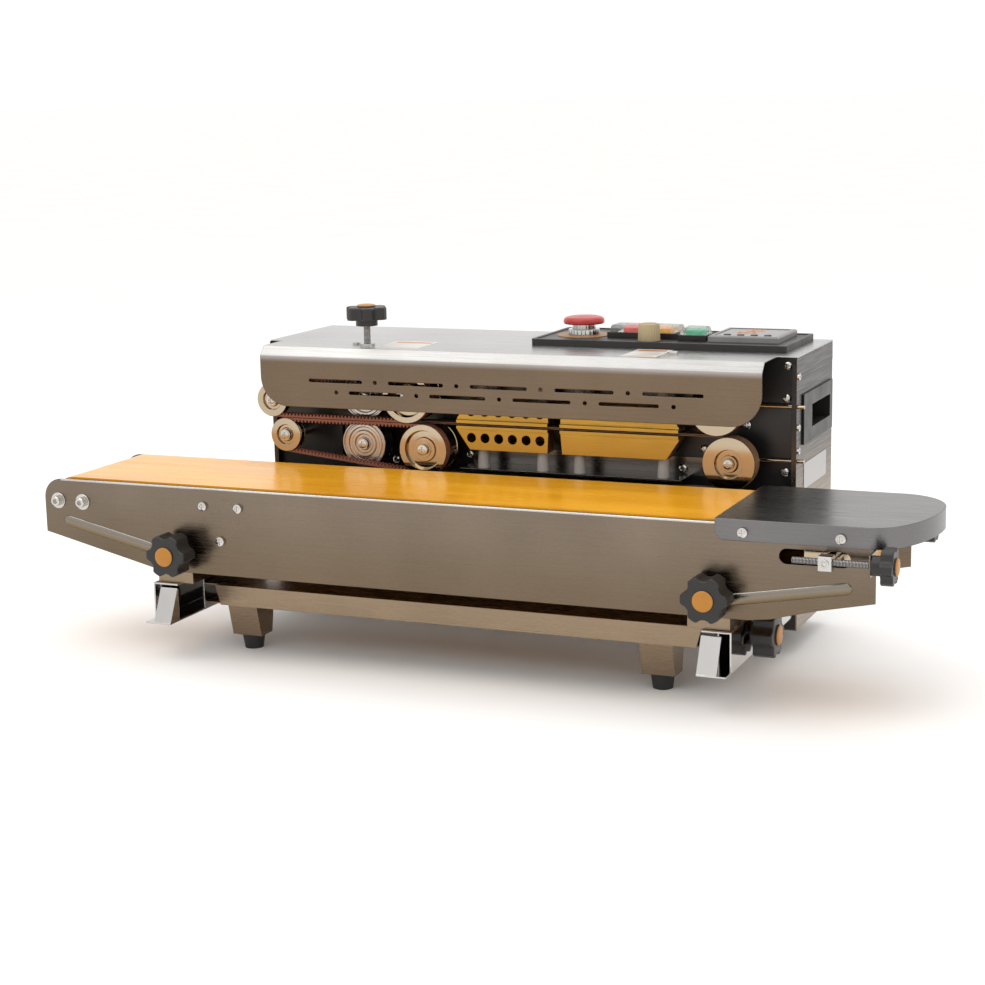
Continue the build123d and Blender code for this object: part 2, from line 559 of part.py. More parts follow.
INLET = (620.0, 90.0)  # x and z of the power inlet in the rear panel
with BuildPart() as floor_and_rear_panel:
    # one bent sheet: the cabinet's floor and its vented rear wall
    slab(INSIDE_X, (PANEL_Y[0], REAR_PANEL_Y[1]), (CABINET_Z[0], CABINET_Z[0] + SHEET))
    slab(INSIDE_X, REAR_PANEL_Y, (CABINET_Z[0], COVER_UNDER))
    for row in range(5):
        for x in (260.0, 330.0):
            slot_y(x, 205.0 + 10.0 * row, 52.0, 4.0, REAR_PANEL_Y)
    slab((INLET[0] - 24, INLET[0] + 24), REAR_PANEL_Y, (INLET[1] - 14, INLET[1] + 14), Mode.SUBTRACT)
finish(floor_and_rear_panel, "floor_and_rear_panel")

with BuildPart() as power_inlet:
    # three-pin inlet without its lead, flush with the rear of the cover
    slab((INLET[0] - 28, INLET[0] + 28), (REAR_PANEL_Y[1], COVER_REAR), (INLET[1] - 17, INLET[1] + 17))
    slab((INLET[0] - 23.7, INLET[0] + 23.7), (322.0, REAR_PANEL_Y[1]), (INLET[1] - 13.7, INLET[1] + 13.7))
    slab((INLET[0] - 12, INLET[0] + 12), (328.0, COVER_REAR), (INLET[1] - 8, INLET[1] + 8), Mode.SUBTRACT)
    for dx, dz in ((-7, -3), (7, -3), (0, 3)):
        slab((INLET[0] + dx - 1, INLET[0] + dx + 1), (326.0, 344.0), (INLET[1] + dz - 2, INLET[1] + dz + 2))
finish(power_inlet, "power_inlet")

FLAP_TOP = 290.0
FLAP_PITCH = 91.7
FLAP_ROWS = (253.7, 265.4)  # heights of the two rows of openings
FLAP_SLOT = (62.0, 3.6)
FLAP_HOLE = (4.4, 4.2)
# first opening's middle, number of openings, height, size
FLAP_OPENINGS = (
    (259.0, 5, FLAP_ROWS[1], FLAP_SLOT),
    (304.8, 4, FLAP_ROWS[1], FLAP_HOLE),
    (305.4, 4, FLAP_ROWS[0], FLAP_SLOT),
    (259.8, 5, FLAP_ROWS[0], FLAP_HOLE),
)
CHAMFER_Y = 163.3
PRESS_SCREW = (285.0, 180.0)
PRESS_ROD = 3.5
BUSH_TOP = 303.0
with BuildPart() as top_cover:
    # top sheet, wider behind the front panel, with a rear hem and a slotted flap in front
    bent(from_right(FLAP_X[0]),
         ((FLAP_Y, FLAP_BOTTOM), (FLAP_Y + COVER, FLAP_BOTTOM), (FLAP_Y + COVER, FLAP_TOP - 0.5),
          (CHAMFER_Y + 0.6, COVER_UNDER), (220, COVER_UNDER), (220, CABINET_Z[1]),
          (CHAMFER_Y, CABINET_Z[1]), (FLAP_Y, FLAP_TOP)), FLAP_X[1] - FLAP_X[0])
    slab(CABINET_X, (207.0, COVER_REAR), (COVER_UNDER, CABINET_Z[1]))
    slab(CABINET_X, (COVER_REAR - COVER, COVER_REAR), (280.0, CABINET_Z[1]))
    corners = top_cover.edges().filter_by(Axis.Y).group_by(Axis.Z)[0]
    fillet(corners, 31)
    flap = (FLAP_Y - 1, FLAP_Y + 3)
    for first, count, z, size in FLAP_OPENINGS:
        for step in range(count):
            slot_y(first + FLAP_PITCH * step, z, *size, flap)
    # welded bush of the press screw
    rod_z(*PRESS_SCREW, (CABINET_Z[1], BUSH_TOP), 8.0)
    rod_z(*PRESS_SCREW, (COVER_UNDER, BUSH_TOP), PRESS_ROD + RUNNING, Mode.SUBTRACT)
finish(top_cover, "top_cover")

COVER_SCREWS = ((266.0, 193.0), (613.0, 197.0))
PANEL_SCREWS = ((725, 290), (724, 258), (723, 185), (684, 230), (640, 204), (300, 176),
                (308, 184), (386, 186), (168, 284), (168, 90), (722, 90))
SHELF_SCREW = (618.5, 183.6)
SHELF_SHEET = 1.7
STUB = 4.0  # radius of the stub axles
STUB_HEAD = 1.6
BAND_WHEEL_REAR = 192.0
with BuildPart() as panel_fasteners:
    for x, z in PANEL_SCREWS:
        rod_y(x, z, (PANEL_Y[0] - HEAD, PANEL_Y[0]), 3.6)
    for z in (SHELF_SCREW[1], 2 * SEAL_Z - SHELF_SCREW[1]):
        rod_y(SHELF_SCREW[0], z, (PANEL_Y[0] - SHELF_SHEET - HEAD, PANEL_Y[0] - SHELF_SHEET), 4.0)
    for x, y in COVER_SCREWS:
        rod_z(x, y, (CABINET_Z[1], CABINET_Z[1] + HEAD), 4.2)
    for z in (229.8, 207.0, 90.0, 280.0):
        rod_x(209.0, z, (CABINET_X[1], CABINET_X[1] + 2.0), 3.2)
    for z in (270.0, 60.0):
        for x in (175.0, 715.0):
            rod_y(x, z, (REAR_PANEL_Y[1], COVER_REAR - 0.1), 3.6)
    # shoulder bolts: stub axles of the two guide idlers and the lower press wheel
    for (x, z), front in ((LOWER_IDLER, 160.2), (UPPER_IDLER, 160.2), (LOWER_PRESS, 169.0)):
        rod_y(x, z, (front, PANEL_Y[0]), STUB)
        rod_y(x, z, (front, front + STUB_HEAD), STUB + 1.6)
        rod_y(x, z, (BAND_WHEEL_REAR + 0.5, PANEL_Y[0]), STUB + 3)
finish(panel_fasteners, "panel_fasteners")

# ---------------------------------------------------------------- controls
BEZEL_X = (447.0, 717.0)
BEZEL_Y = (232.0, 342.0)
BEZEL_FLOOR = 305.0
RIM = 4.0
ESTOP = (486.0, 285.0)
ESTOP_STEM = 12.0
SPEED = (569.5, 250.0)
ROCKER_PIVOT_Z = 308.0
ROCKER_HALF = (13.5, 11.0)  # half width and half length
ROCKERS = {"red_rocker": (541.5, 285.0), "amber_rocker": (574.5, 285.0), "green_rocker": (611.0, 276.0)}
HOUSINGS = (((517.0, 595.0), (270.0, 300.0)), ((596.2, 626.0), (261.0, 291.0)))
HOUSING_TOP = 310.5
ROCKER_TILT = 8.0
CONTROLLER_X = (629.0, 702.0)
CONTROLLER_Y = (258.0, 331.0)
with BuildPart() as control_bezel:
    slab(BEZEL_X, BEZEL_Y, (CABINET_Z[1], BEZEL_TOP))
    inner = ((BEZEL_X[0] + RIM, BEZEL_X[1] - RIM), (BEZEL_Y[0] + RIM, BEZEL_Y[1] - RIM))
    slab(*inner, (BEZEL_FLOOR, BEZEL_TOP), Mode.SUBTRACT)
    rod_z(*ESTOP, (CABINET_Z[1], BEZEL_FLOOR), ESTOP_STEM + 1, Mode.SUBTRACT)
    rod_z(*SPEED, (CABINET_Z[1] + 1, BEZEL_FLOOR), 3 + RUNNING, Mode.SUBTRACT)
    upright = control_bezel.edges().filter_by(Axis.Z).group_by(Axis.X)
    fillet(upright[0] + upright[-1], 4)
finish(control_bezel, "control_bezel")

with BuildPart() as estop_button:
    turned_z(*ESTOP, ((0, 306.2), (ESTOP_STEM, 306.2), (ESTOP_STEM, 317.0), (20.5, 317.0),
                      (21.5, 318.5), (21.5, 321.5), (19.0, 324.0), (0, 325.5)))
finish(estop_button, "estop_button")

with BuildPart() as speed_knob:
    turned_z(*SPEED, ((0, 301), (3, 301), (3, 305.3), (11.5, 305.3), (10.5, 322), (9.5, 323), (0, 323)))
finish(speed_knob, "speed_knob")

with BuildPart() as switch_housings:
    # collar of the stop button, and the wells of the three rockers
    rod_z(*ESTOP, (BEZEL_FLOOR, 311.5), 15.5)
    rod_z(*ESTOP, (BEZEL_FLOOR, 311.5), ESTOP_STEM + RUNNING, Mode.SUBTRACT)
    for x, y in HOUSINGS:
        slab(x, y, (BEZEL_FLOOR, HOUSING_TOP))
    for x, y in ROCKERS.values():
        slab((x - 14, x + 14), (y - 12.2, y + 12.2), (BEZEL_FLOOR, HOUSING_TOP), Mode.SUBTRACT)
        rod_x(y, ROCKER_PIVOT_Z, (x - 15.6, x + 15.6), 1.5 + RUNNING, Mode.SUBTRACT)
finish(switch_housings, "switch_housings")


def rocker(x, y):
    """Rocker with a dished top on two trunnions, resting tilted to its off side."""
    half = ROCKER_HALF[1]
    with BuildSketch(from_right(x - ROCKER_HALF[0])) as side:
        with Locations(Location((y, ROCKER_PIVOT_Z, 0), (0, 0, -ROCKER_TILT))):
            Polygon((-half, -1), (half, -1), (half, 6), (0, 3.5), (-half, 6), align=None)
    extrude(side.sketch, amount=2 * ROCKER_HALF[0])
    rod_x(y, ROCKER_PIVOT_Z, (x - 15.4, x + 15.4), 1.5)


with BuildPart() as red_rocker:
    rocker(*ROCKERS["red_rocker"])
finish(red_rocker, "red_rocker")

with BuildPart() as amber_rocker:
    rocker(*ROCKERS["amber_rocker"])
finish(amber_rocker, "amber_rocker")

with BuildPart() as green_rocker:
    rocker(*ROCKERS["green_rocker"])
finish(green_rocker, "green_rocker")

COVER_WALL = 0.9
COVER_INSIDE = 317.0
with BuildPart() as rocker_covers:
    # clear boots over the rockers
    for (x_low, x_high), (y_low, y_high) in HOUSINGS:
        gap = 0.1
        slab((x_low + gap, x_high - gap), (y_low + gap, y_high - gap),
             (HOUSING_TOP, COVER_INSIDE + COVER_WALL))
    boot_tops = rocker_covers.faces().group_by(Axis.Z)[-1].edges()
    fillet(boot_tops, 0.8)
    for (x_low, x_high), (y_low, y_high) in HOUSINGS:
        slab((x_low + 1, x_high - 1), (y_low + 1, y_high - 1), (HOUSING_TOP, COVER_INSIDE), Mode.SUBTRACT)
finish(rocker_covers, "rocker_covers")

with BuildPart() as temperature_controller:
    slab(CONTROLLER_X, CONTROLLER_Y, (BEZEL_FLOOR, 311.5))
    chamfer(temperature_controller.faces().sort_by(Axis.Z)[-1].edges(), 1.5)
    slab((CONTROLLER_X[0] + 5, CONTROLLER_X[1] - 5), (CONTROLLER_Y[0] + 5, CONTROLLER_Y[1] - 5),
         (310.5, 311.5), Mode.SUBTRACT)
finish(temperature_controller, "temperature_controller")

# ---------------------------------------------------------------- sealing head
FLANGE_RADIUS = 26.2
DRUM = RUN - BAND_THICKNESS - FIT
GROOVE = RUN - GUIDE_THICKNESS - FIT
GEAR_Y = (236.0, 244.0)
SHAFT_END = 262.0


def drive_wheel(x, z):
    """Drive wheel: guide pulley in front, band drum behind, turned in one piece with its shaft."""
    turned_y(x, z, (
        (0, 160.2), (5, 160.2), (5, 163.0), (8, 163.0), (8, 164.2), (12, 164.2), (13, 166.5),
        (19, 166.5), (20.5, 161.5), (FLANGE_RADIUS, 161.5), (FLANGE_RADIUS, 163.0),
        (GROOVE, 163.0), (GROOVE, 172.2), (FLANGE_RADIUS, 172.2), (FLANGE_RADIUS, 175.0), (DRUM, 175.6),
        (DRUM, 190.5), (FLANGE_RADIUS, 190.8), (FLANGE_RADIUS, 192.0), (12, 192.0), (12, 200.0),
        (SHAFT, 200.0), (SHAFT, SHAFT_END), (0, SHAFT_END),
    ))


with BuildPart() as lower_drive_wheel:
    drive_wheel(*LOWER_DRIVE)
finish(lower_drive_wheel, "lower_drive_wheel")

with BuildPart() as upper_drive_wheel:
    drive_wheel(*UPPER_DRIVE)
finish(upper_drive_wheel, "upper_drive_wheel")

GEAR_TEETH = 28
PITCH_RADIUS = hypot(UPPER_DRIVE[0] - LOWER_DRIVE[0], UPPER_DRIVE[1] - LOWER_DRIVE[1]) / 2
MODULE = 2 * PITCH_RADIUS / GEAR_TEETH
GEAR_ROOT = PITCH_RADIUS - 1.25 * MODULE
GEAR_TIP = PITCH_RADIUS + 0.85 * MODULE
LINE_OF_CENTRES = degrees(atan2(UPPER_DRIVE[1] - LOWER_DRIVE[1], UPPER_DRIVE[0] - LOWER_DRIVE[0]))
SPROCKET_Y = (226.0, 231.0)
SPROCKET = (15.0, 17.6)  # radii at the root and the tip of the teeth
SPROCKET_TEETH = 16
MOTOR = (450.0, 90.0)
with BuildPart() as lower_drive_gear:
    # gear with the chain sprocket on its boss
    toothed(from_front(GEAR_Y[1]), LOWER_DRIVE, GEAR_TEETH, GEAR_ROOT, GEAR_TIP, LINE_OF_CENTRES,
            GEAR_Y[1] - GEAR_Y[0])
    toothed(from_front(SPROCKET_Y[1]), LOWER_DRIVE, SPROCKET_TEETH, *SPROCKET, 0.0,
            SPROCKET_Y[1] - SPROCKET_Y[0])
    rod_y(*LOWER_DRIVE, (SPROCKET_Y[0], GEAR_Y[1] + 4), 11.0)
    rod_y(*LOWER_DRIVE, (SPROCKET_Y[0], GEAR_Y[1] + 4), SHAFT, Mode.SUBTRACT)
finish(lower_drive_gear, "lower_drive_gear")

with BuildPart() as upper_drive_gear:
    toothed(from_front(GEAR_Y[1]), UPPER_DRIVE, GEAR_TEETH, GEAR_ROOT, GEAR_TIP,
            LINE_OF_CENTRES + 180 + 180 / GEAR_TEETH, GEAR_Y[1] - GEAR_Y[0])
    rod_y(*UPPER_DRIVE, (GEAR_Y[0] - 4, GEAR_Y[1] + 4), 11.0)
    rod_y(*UPPER_DRIVE, (GEAR_Y[0] - 4, GEAR_Y[1] + 4), SHAFT, Mode.SUBTRACT)
finish(upper_drive_gear, "upper_drive_gear")

SUPPORT_Y = (252.0, 255.0)
SUPPORT_X = (290.0, 400.0)
SUPPORT_Z = (158.0, 284.0)
with BuildPart() as gear_support_plate:
    slab(SUPPORT_X, SUPPORT_Y, SUPPORT_Z)
    for x, z in (LOWER_DRIVE, UPPER_DRIVE):
        rod_y(x, z, SUPPORT_Y, DRIVE_SHAFT_HOLE, Mode.SUBTRACT)
    for x in (SUPPORT_X[0] + 6, SUPPORT_X[1] - 6):
        for z in (SUPPORT_Z[0] + 6, SUPPORT_Z[1] - 6):
            rod_y(x, z, (PANEL_Y[1], SUPPORT_Y[0]), 4.0)
    # flanged bearings of the two drive shafts, in this plate and in the front panel
    for x, z in (LOWER_DRIVE, UPPER_DRIVE):
        for y in ((209.0, 216.0), (250.0, 257.0)):
            rod_y(x, z, y, DRIVE_BEARING)
            rod_y(x, z, y, SHAFT + RUNNING, Mode.SUBTRACT)
finish(gear_support_plate, "gear_support_plate")

with BuildPart() as gear_motor:
    slab((415.0, 485.0), (240.0, 300.0), (60.0, 120.0))
    rod_x(268.0, 90.0, (485.0, 610.0), 30.0)
    slab((425.0, 475.0), (245.0, 295.0), (CABINET_Z[0] + SHEET, 60.0))
    rod_y(*MOTOR, (224.0, 240.0), SHAFT)
finish(gear_motor, "gear_motor")

with BuildPart() as motor_sprocket:
    toothed(from_front(SPROCKET_Y[1]), MOTOR, SPROCKET_TEETH, *SPROCKET, 0.0, SPROCKET_Y[1] - SPROCKET_Y[0])
    rod_y(*MOTOR, SPROCKET_Y, SHAFT + RUNNING, Mode.SUBTRACT)
finish(motor_sprocket, "motor_sprocket")

CHAIN = 4.0
with BuildPart() as drive_chain:
    loop(MOTOR, SPROCKET[1] + FIT + CHAIN, LOWER_DRIVE, SPROCKET[1] + FIT + CHAIN, CHAIN, SPROCKET_Y)
finish(drive_chain, "drive_chain")

def idler(x, z):
    """Grooved idler for a toothed guide belt."""
    groove = IDLER_RUN - GUIDE_THICKNESS - FIT
    bore = STUB + RUNNING
    turned_y(x, z, ((bore, 163.0), (6.5, 163.0), (7.5, 164.8), (10, 164.8), (11, 162.0), (17.4, 162.0),
                    (17.4, 163.0), (groove, 163.2), (groove, 171.9), (17.4, 172.1), (17.4, 173.6),
                    (bore, 173.6)))


with BuildPart() as lower_guide_idler:
    idler(*LOWER_IDLER)
finish(lower_guide_idler, "lower_guide_idler")

with BuildPart() as upper_guide_idler:
    idler(*UPPER_IDLER)
finish(upper_guide_idler, "upper_guide_idler")


def press_wheel(x, z):
    """Rubber-faced press wheel with turned rings on its front."""
    bore = STUB + RUNNING
    turned_y(x, z, ((bore, 172.0), (6.4, 172.0), (7.2, 173.6), (9.6, 173.6), (10.6, 172.2), (13.4, 172.2),
                    (14.4, 174.0), (17.0, 174.0), (18.0, 172.4), (20.4, 172.4), (21.2, 173.6),
                    (22.4, 173.6), (23.2, 172.2), (PRESS_RADIUS - 0.6, 172.2), (PRESS_RADIUS, 173.0),
                    (PRESS_RADIUS, 190.0), (bore, 190.0)))


with BuildPart() as lower_press_wheel:
    press_wheel(*LOWER_PRESS)
finish(lower_press_wheel, "lower_press_wheel")

with BuildPart() as upper_press_wheel:
    press_wheel(*UPPER_PRESS)
finish(upper_press_wheel, "upper_press_wheel")

YOKE_X = (273.0, 297.0)
ARM_Z = (281.0, 287.0)
with BuildPart() as press_yoke:
    # bracket that carries the upper press wheel and rides up and down on the press screw
    slab(YOKE_X, (171.0, 209.0), ARM_Z)
    slab(YOKE_X, (195.0, 209.0), (232.0, ARM_Z[1]))
    rod_y(*UPPER_PRESS, (169.0, 196.0), STUB)
    rod_y(*UPPER_PRESS, (169.0, 170.6), STUB + 1.6)
    rod_z(*PRESS_SCREW, ARM_Z, PRESS_ROD + RUNNING, Mode.SUBTRACT)
finish(press_yoke, "press_yoke")

with BuildPart() as press_knob:
    crown = Plane(origin=(X0 + PRESS_SCREW[0], Y0 + PRESS_SCREW[1], 321.5), x_dir=(1, 0, 0), z_dir=(0, 0, 1))
    star_knob(crown, KNOB_RADIUS, 13.0, 6.5, CAP_RADIUS)
    rod_z(*PRESS_SCREW, (280.0, 323.0), PRESS_ROD)
finish(press_knob, "press_knob")


def tension_wheel(x, z):
    """Plain wheel that keeps a sealing band tight."""
    bore = STUB + RUNNING
    turned_y(x, z, ((bore, 174.2), (8, 174.2), (9, 178.0), (13.5, 178.0), (14.5, 173.5),
                    (FLANGE_RADIUS, 173.5), (FLANGE_RADIUS, 175.0), (DRUM, 175.6), (DRUM, 190.5),
                    (FLANGE_RADIUS, 190.8), (FLANGE_RADIUS, 192.0), (bore, 192.0)))


with BuildPart() as lower_tension_wheel:
    tension_wheel(*LOWER_TENSION)
finish(lower_tension_wheel, "lower_tension_wheel")

with BuildPart() as upper_tension_wheel:
    tension_wheel(*UPPER_TENSION)
finish(upper_tension_wheel, "upper_tension_wheel")


def wheel_slider(x, z):
    """Block that slides along a slot in the front panel, with its stub axle and tension rod."""
    slab((x - 14, x + 14), (197.0, PANEL_Y[0] - FIT), (z - 9, z + 9))
    slab((x - 9, x + 9), (PANEL_Y[0] - FIT, PANEL_Y[1] + FIT), (z - 4.7, z + 4.7))
    slab((x - 13, x + 13), (PANEL_Y[1] + FIT, PANEL_Y[1] + 2.3), (z - 8, z + 8))
    rod_y(x, z, (172.0, 198.0), STUB)
    rod_y(x, z, (171.6, 173.2), STUB + 1.6)
    rod_y(x, z, (BAND_WHEEL_REAR + 0.5, 198.0), STUB + 3)
    rod_x(ROD_Y, z, (x + 13, CABINET_X[1] + 7), ROD_RADIUS)


with BuildPart() as lower_wheel_slider:
    wheel_slider(*LOWER_TENSION)
finish(lower_wheel_slider, "lower_wheel_slider")

with BuildPart() as upper_wheel_slider:
    wheel_slider(*UPPER_TENSION)
finish(upper_wheel_slider, "upper_wheel_slider")

with BuildPart() as guide_belts:
    loop(LOWER_IDLER, IDLER_RUN, LOWER_DRIVE, RUN, GUIDE_THICKNESS, GUIDE_Y)
    loop(UPPER_IDLER, IDLER_RUN, UPPER_DRIVE, RUN, GUIDE_THICKNESS, GUIDE_Y)
finish(guide_belts, "guide_belts")

with BuildPart() as seal_bands:
    loop(LOWER_DRIVE, RUN, LOWER_TENSION, RUN, BAND_THICKNESS, BAND_Y)
    loop(UPPER_DRIVE, RUN, UPPER_TENSION, RUN, BAND_THICKNESS, BAND_Y)
finish(seal_bands, "seal_bands")

LIP = 1.4  # from the sealing plane to the face of a block
LIP_HEIGHT = 3.4
BLOCK_HEIGHT = 26.0
BLOCK_Y = (174.5, 193.0)
LIP_Y = 172.0
SPACER_X = (412.7, 478.0, 518.0, 606.5)
SHELF_FACE = 45.3  # from the sealing plane to the near face of a shelf
BLOCK_HOLES = 6


def from_seal(distance, side):
    """Height at a distance from the sealing plane, above it for side 1 and below it for side -1."""
    return SEAL_Z + side * distance


def bar(side, lip_x, foot_x):
    """Bar with a narrow lip on the sealing side; its foot may be shorter than its lip."""
    outline = ((lip_x[0], from_seal(LIP, side)), (lip_x[1], from_seal(LIP, side)),
               (lip_x[1], from_seal(LIP + LIP_HEIGHT + 1.5, side)), (foot_x[1], from_seal(BLOCK_HEIGHT, side)),
               (foot_x[0], from_seal(BLOCK_HEIGHT, side)), (lip_x[0], from_seal(LIP + LIP_HEIGHT + 1.5, side)))
    bent(from_front(BLOCK_Y[1]), outline, BLOCK_Y[1] - BLOCK_Y[0])
    slab(lip_x, (LIP_Y, BLOCK_Y[1]), sorted((from_seal(LIP, side), from_seal(LIP + LIP_HEIGHT, side))))


with BuildPart() as cooling_blocks:
    for side in (-1, 1):
        bar(side, (387.6, 487.8), (401.4, 486.5))
        for hole in range(BLOCK_HOLES):
            rod_y(403.2 + 15.1 * hole, from_seal(13.7, side), BLOCK_Y, 5.0, Mode.SUBTRACT)
finish(cooling_blocks, "cooling_blocks")

HEATER_X = (530.0, 585.0)
HEATER = 4.9
with BuildPart() as heating_blocks:
    for side in (-1, 1):
        bar(side, (501.0, 625.4), (502.5, 612.2))
        for x in HEATER_X:
            rod_y(x, from_seal(14.0, side), (178.0, BLOCK_Y[1]), HEATER + RUNNING, Mode.SUBTRACT)
finish(heating_blocks, "heating_blocks")

with BuildPart() as heater_cartridges:
    for side in (-1, 1):
        for x in HEATER_X:
            rod_y(x, from_seal(14.0, side), (178.0, 202.0), HEATER)
finish(heater_cartridges, "heater_cartridges")

with BuildPart() as block_spacers:
    for side in (-1, 1):
        for x in SPACER_X:
            turned_z(x, 184.0, ((0, from_seal(BLOCK_HEIGHT, side)), (5.5, from_seal(BLOCK_HEIGHT, side)),
                                (6.5, from_seal(SHELF_FACE, side)), (0, from_seal(SHELF_FACE, side))))
finish(block_spacers, "block_spacers")

with BuildPart() as block_shelves:
    # angle shelves on the front panel; the upstand carries a screw at its right end
    for side in (-1, 1):
        flat = sorted((from_seal(SHELF_FACE, side), from_seal(SHELF_FACE + SHELF_SHEET, side)))
        slab((390.0, 628.0), (173.0, PANEL_Y[0]), flat)
        upstand = sorted((from_seal(SHELF_FACE + SHELF_SHEET, side), from_seal(28.5, side)))
        slab((390.0, 640.6), (PANEL_Y[0] - SHELF_SHEET, PANEL_Y[0]), upstand)
        for x in SPACER_X:
            head = sorted((from_seal(SHELF_FACE + SHELF_SHEET, side), from_seal(SHELF_FACE + 4.0, side)))
            rod_z(x, 184.0, head, 3.4)
finish(block_shelves, "block_shelves")
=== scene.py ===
"""Looks of the continuous band sealer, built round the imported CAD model."""
import json
from math import atan2, cos, hypot, pi, radians, sin
import bmesh
import bpy
from mathutils import Matrix, Vector


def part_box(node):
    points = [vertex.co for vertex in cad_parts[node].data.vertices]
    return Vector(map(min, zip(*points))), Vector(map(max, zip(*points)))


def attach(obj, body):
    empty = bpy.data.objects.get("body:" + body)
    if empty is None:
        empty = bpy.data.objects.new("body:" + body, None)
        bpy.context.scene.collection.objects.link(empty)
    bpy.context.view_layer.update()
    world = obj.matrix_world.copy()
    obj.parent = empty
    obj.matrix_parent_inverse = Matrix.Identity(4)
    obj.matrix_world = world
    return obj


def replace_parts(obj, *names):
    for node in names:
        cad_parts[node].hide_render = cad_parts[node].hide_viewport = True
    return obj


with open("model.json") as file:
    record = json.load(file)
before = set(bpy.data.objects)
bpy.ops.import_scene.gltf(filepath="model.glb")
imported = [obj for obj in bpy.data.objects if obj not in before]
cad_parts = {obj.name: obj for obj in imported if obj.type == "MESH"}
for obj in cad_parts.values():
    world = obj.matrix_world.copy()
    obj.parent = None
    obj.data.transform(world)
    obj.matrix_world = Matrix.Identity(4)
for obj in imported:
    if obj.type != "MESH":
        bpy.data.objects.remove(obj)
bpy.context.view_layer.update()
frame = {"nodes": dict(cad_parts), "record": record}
MM = 0.001
BELT_INSET = 7.0  # belt's edge behind the front plate's face
DATUM = Vector((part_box("side_plates")[0].x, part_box("conveyor_belt")[0].y - BELT_INSET * MM, 0.0))


def at(x, y, z):
    """Point given in millimetres from the machine's datum, in metres in the model's frame."""
    return DATUM + Vector((x, y, z)) * MM


def middle(node):
    """Middle of a CAD node's box, in millimetres from the datum."""
    low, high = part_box(node)
    return ((low + high) / 2 - DATUM) / MM


def top_of(node):
    """Highest corner of a CAD node's box, in millimetres from the datum."""
    return (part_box(node)[1] - DATUM) / MM


def bottom_of(node):
    """Lowest corner of a CAD node's box, in millimetres from the datum."""
    return (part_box(node)[0] - DATUM) / MM


# ---------------------------------------------------------------- materials
def shader(name, color, metallic=0.0, roughness=0.5, **sockets):
    """New material with its principled shader set; returns material, nodes, links, shader."""
    material = bpy.data.materials.new(name)
    material.use_nodes = True
    nodes = material.node_tree.nodes
    principled = nodes["Principled BSDF"]
    principled.inputs["Base Color"].default_value = (*color, 1)
    principled.inputs["Metallic"].default_value = metallic
    principled.inputs["Roughness"].default_value = roughness
    for socket, value in sockets.items():
        principled.inputs[socket.replace("_", " ")].default_value = value
    return material, nodes, material.node_tree.links, principled


def noise(nodes, links, scale, detail=4.0, stretch=(1, 1, 1)):
    """Noise texture in object space, stretched by the three factors."""
    place = nodes.new("ShaderNodeTexCoord")
    mapping = nodes.new("ShaderNodeMapping")
    mapping.inputs["Scale"].default_value = stretch
    texture = nodes.new("ShaderNodeTexNoise")
    texture.inputs["Scale"].default_value = scale
    texture.inputs["Detail"].default_value = detail
    links.new(place.outputs["Object"], mapping.inputs["Vector"])
    links.new(mapping.outputs["Vector"], texture.inputs["Vector"])
    return texture.outputs["Fac"]


def ramp(nodes, links, value, low, high, start=0.3, end=0.7):
    """Colour ramp between two colours."""
    node = nodes.new("ShaderNodeValToRGB")
    node.color_ramp.elements[0].position = start
    node.color_ramp.elements[0].color = (*low, 1)
    node.color_ramp.elements[1].position = end
    node.color_ramp.elements[1].color = (*high, 1)
    links.new(value, node.inputs["Fac"])
    return node.outputs["Color"]


def spread(nodes, links, value, low, high):
    """Maps the middle of a noise's range, 0.3 to 0.7, to low..high."""
    node = nodes.new("ShaderNodeMapRange")
    node.inputs["From Min"].default_value = 0.3
    node.inputs["From Max"].default_value = 0.7
    node.inputs["To Min"].default_value = low
    node.inputs["To Max"].default_value = high
    links.new(value, node.inputs["Value"])
    return node.outputs["Result"]


def relief(nodes, links, principled, height, distance, strength, edge=0.0):
    """Bump, over edges rounded by the given radius."""
    bump = nodes.new("ShaderNodeBump")
    bump.inputs["Distance"].default_value = distance
    bump.inputs["Strength"].default_value = strength
    links.new(height, bump.inputs["Height"])
    if edge:
        rounded = nodes.new("ShaderNodeBevel")
        rounded.samples = 4
        rounded.inputs["Radius"].default_value = edge
        links.new(rounded.outputs["Normal"], bump.inputs["Normal"])
    links.new(bump.outputs["Normal"], principled.inputs["Normal"])


def shade_by_height(nodes, links, color, heights, share):
    """Painted shade by height: multiplies a colour by one tint at the lower height and by another at the
    upper one, in metres.
    """
    place = nodes.new("ShaderNodeTexCoord")
    split = nodes.new("ShaderNodeSeparateXYZ")
    links.new(place.outputs["Object"], split.inputs["Vector"])
    amount = nodes.new("ShaderNodeMapRange")
    amount.interpolation_type = "SMOOTHSTEP"
    amount.inputs["From Min"].default_value = heights[0]
    amount.inputs["From Max"].default_value = heights[1]
    links.new(split.outputs["Z"], amount.inputs["Value"])
    mix = nodes.new("ShaderNodeMix")
    mix.data_type = "RGBA"
    mix.blend_type = "MULTIPLY"
    mix.inputs[0].default_value = 1.0
    links.new(color, mix.inputs[6])
    low, high = share
    links.new(ramp(nodes, links, amount.outputs["Result"], low, high, 0.0, 1.0), mix.inputs[7])
    return mix.outputs[2]


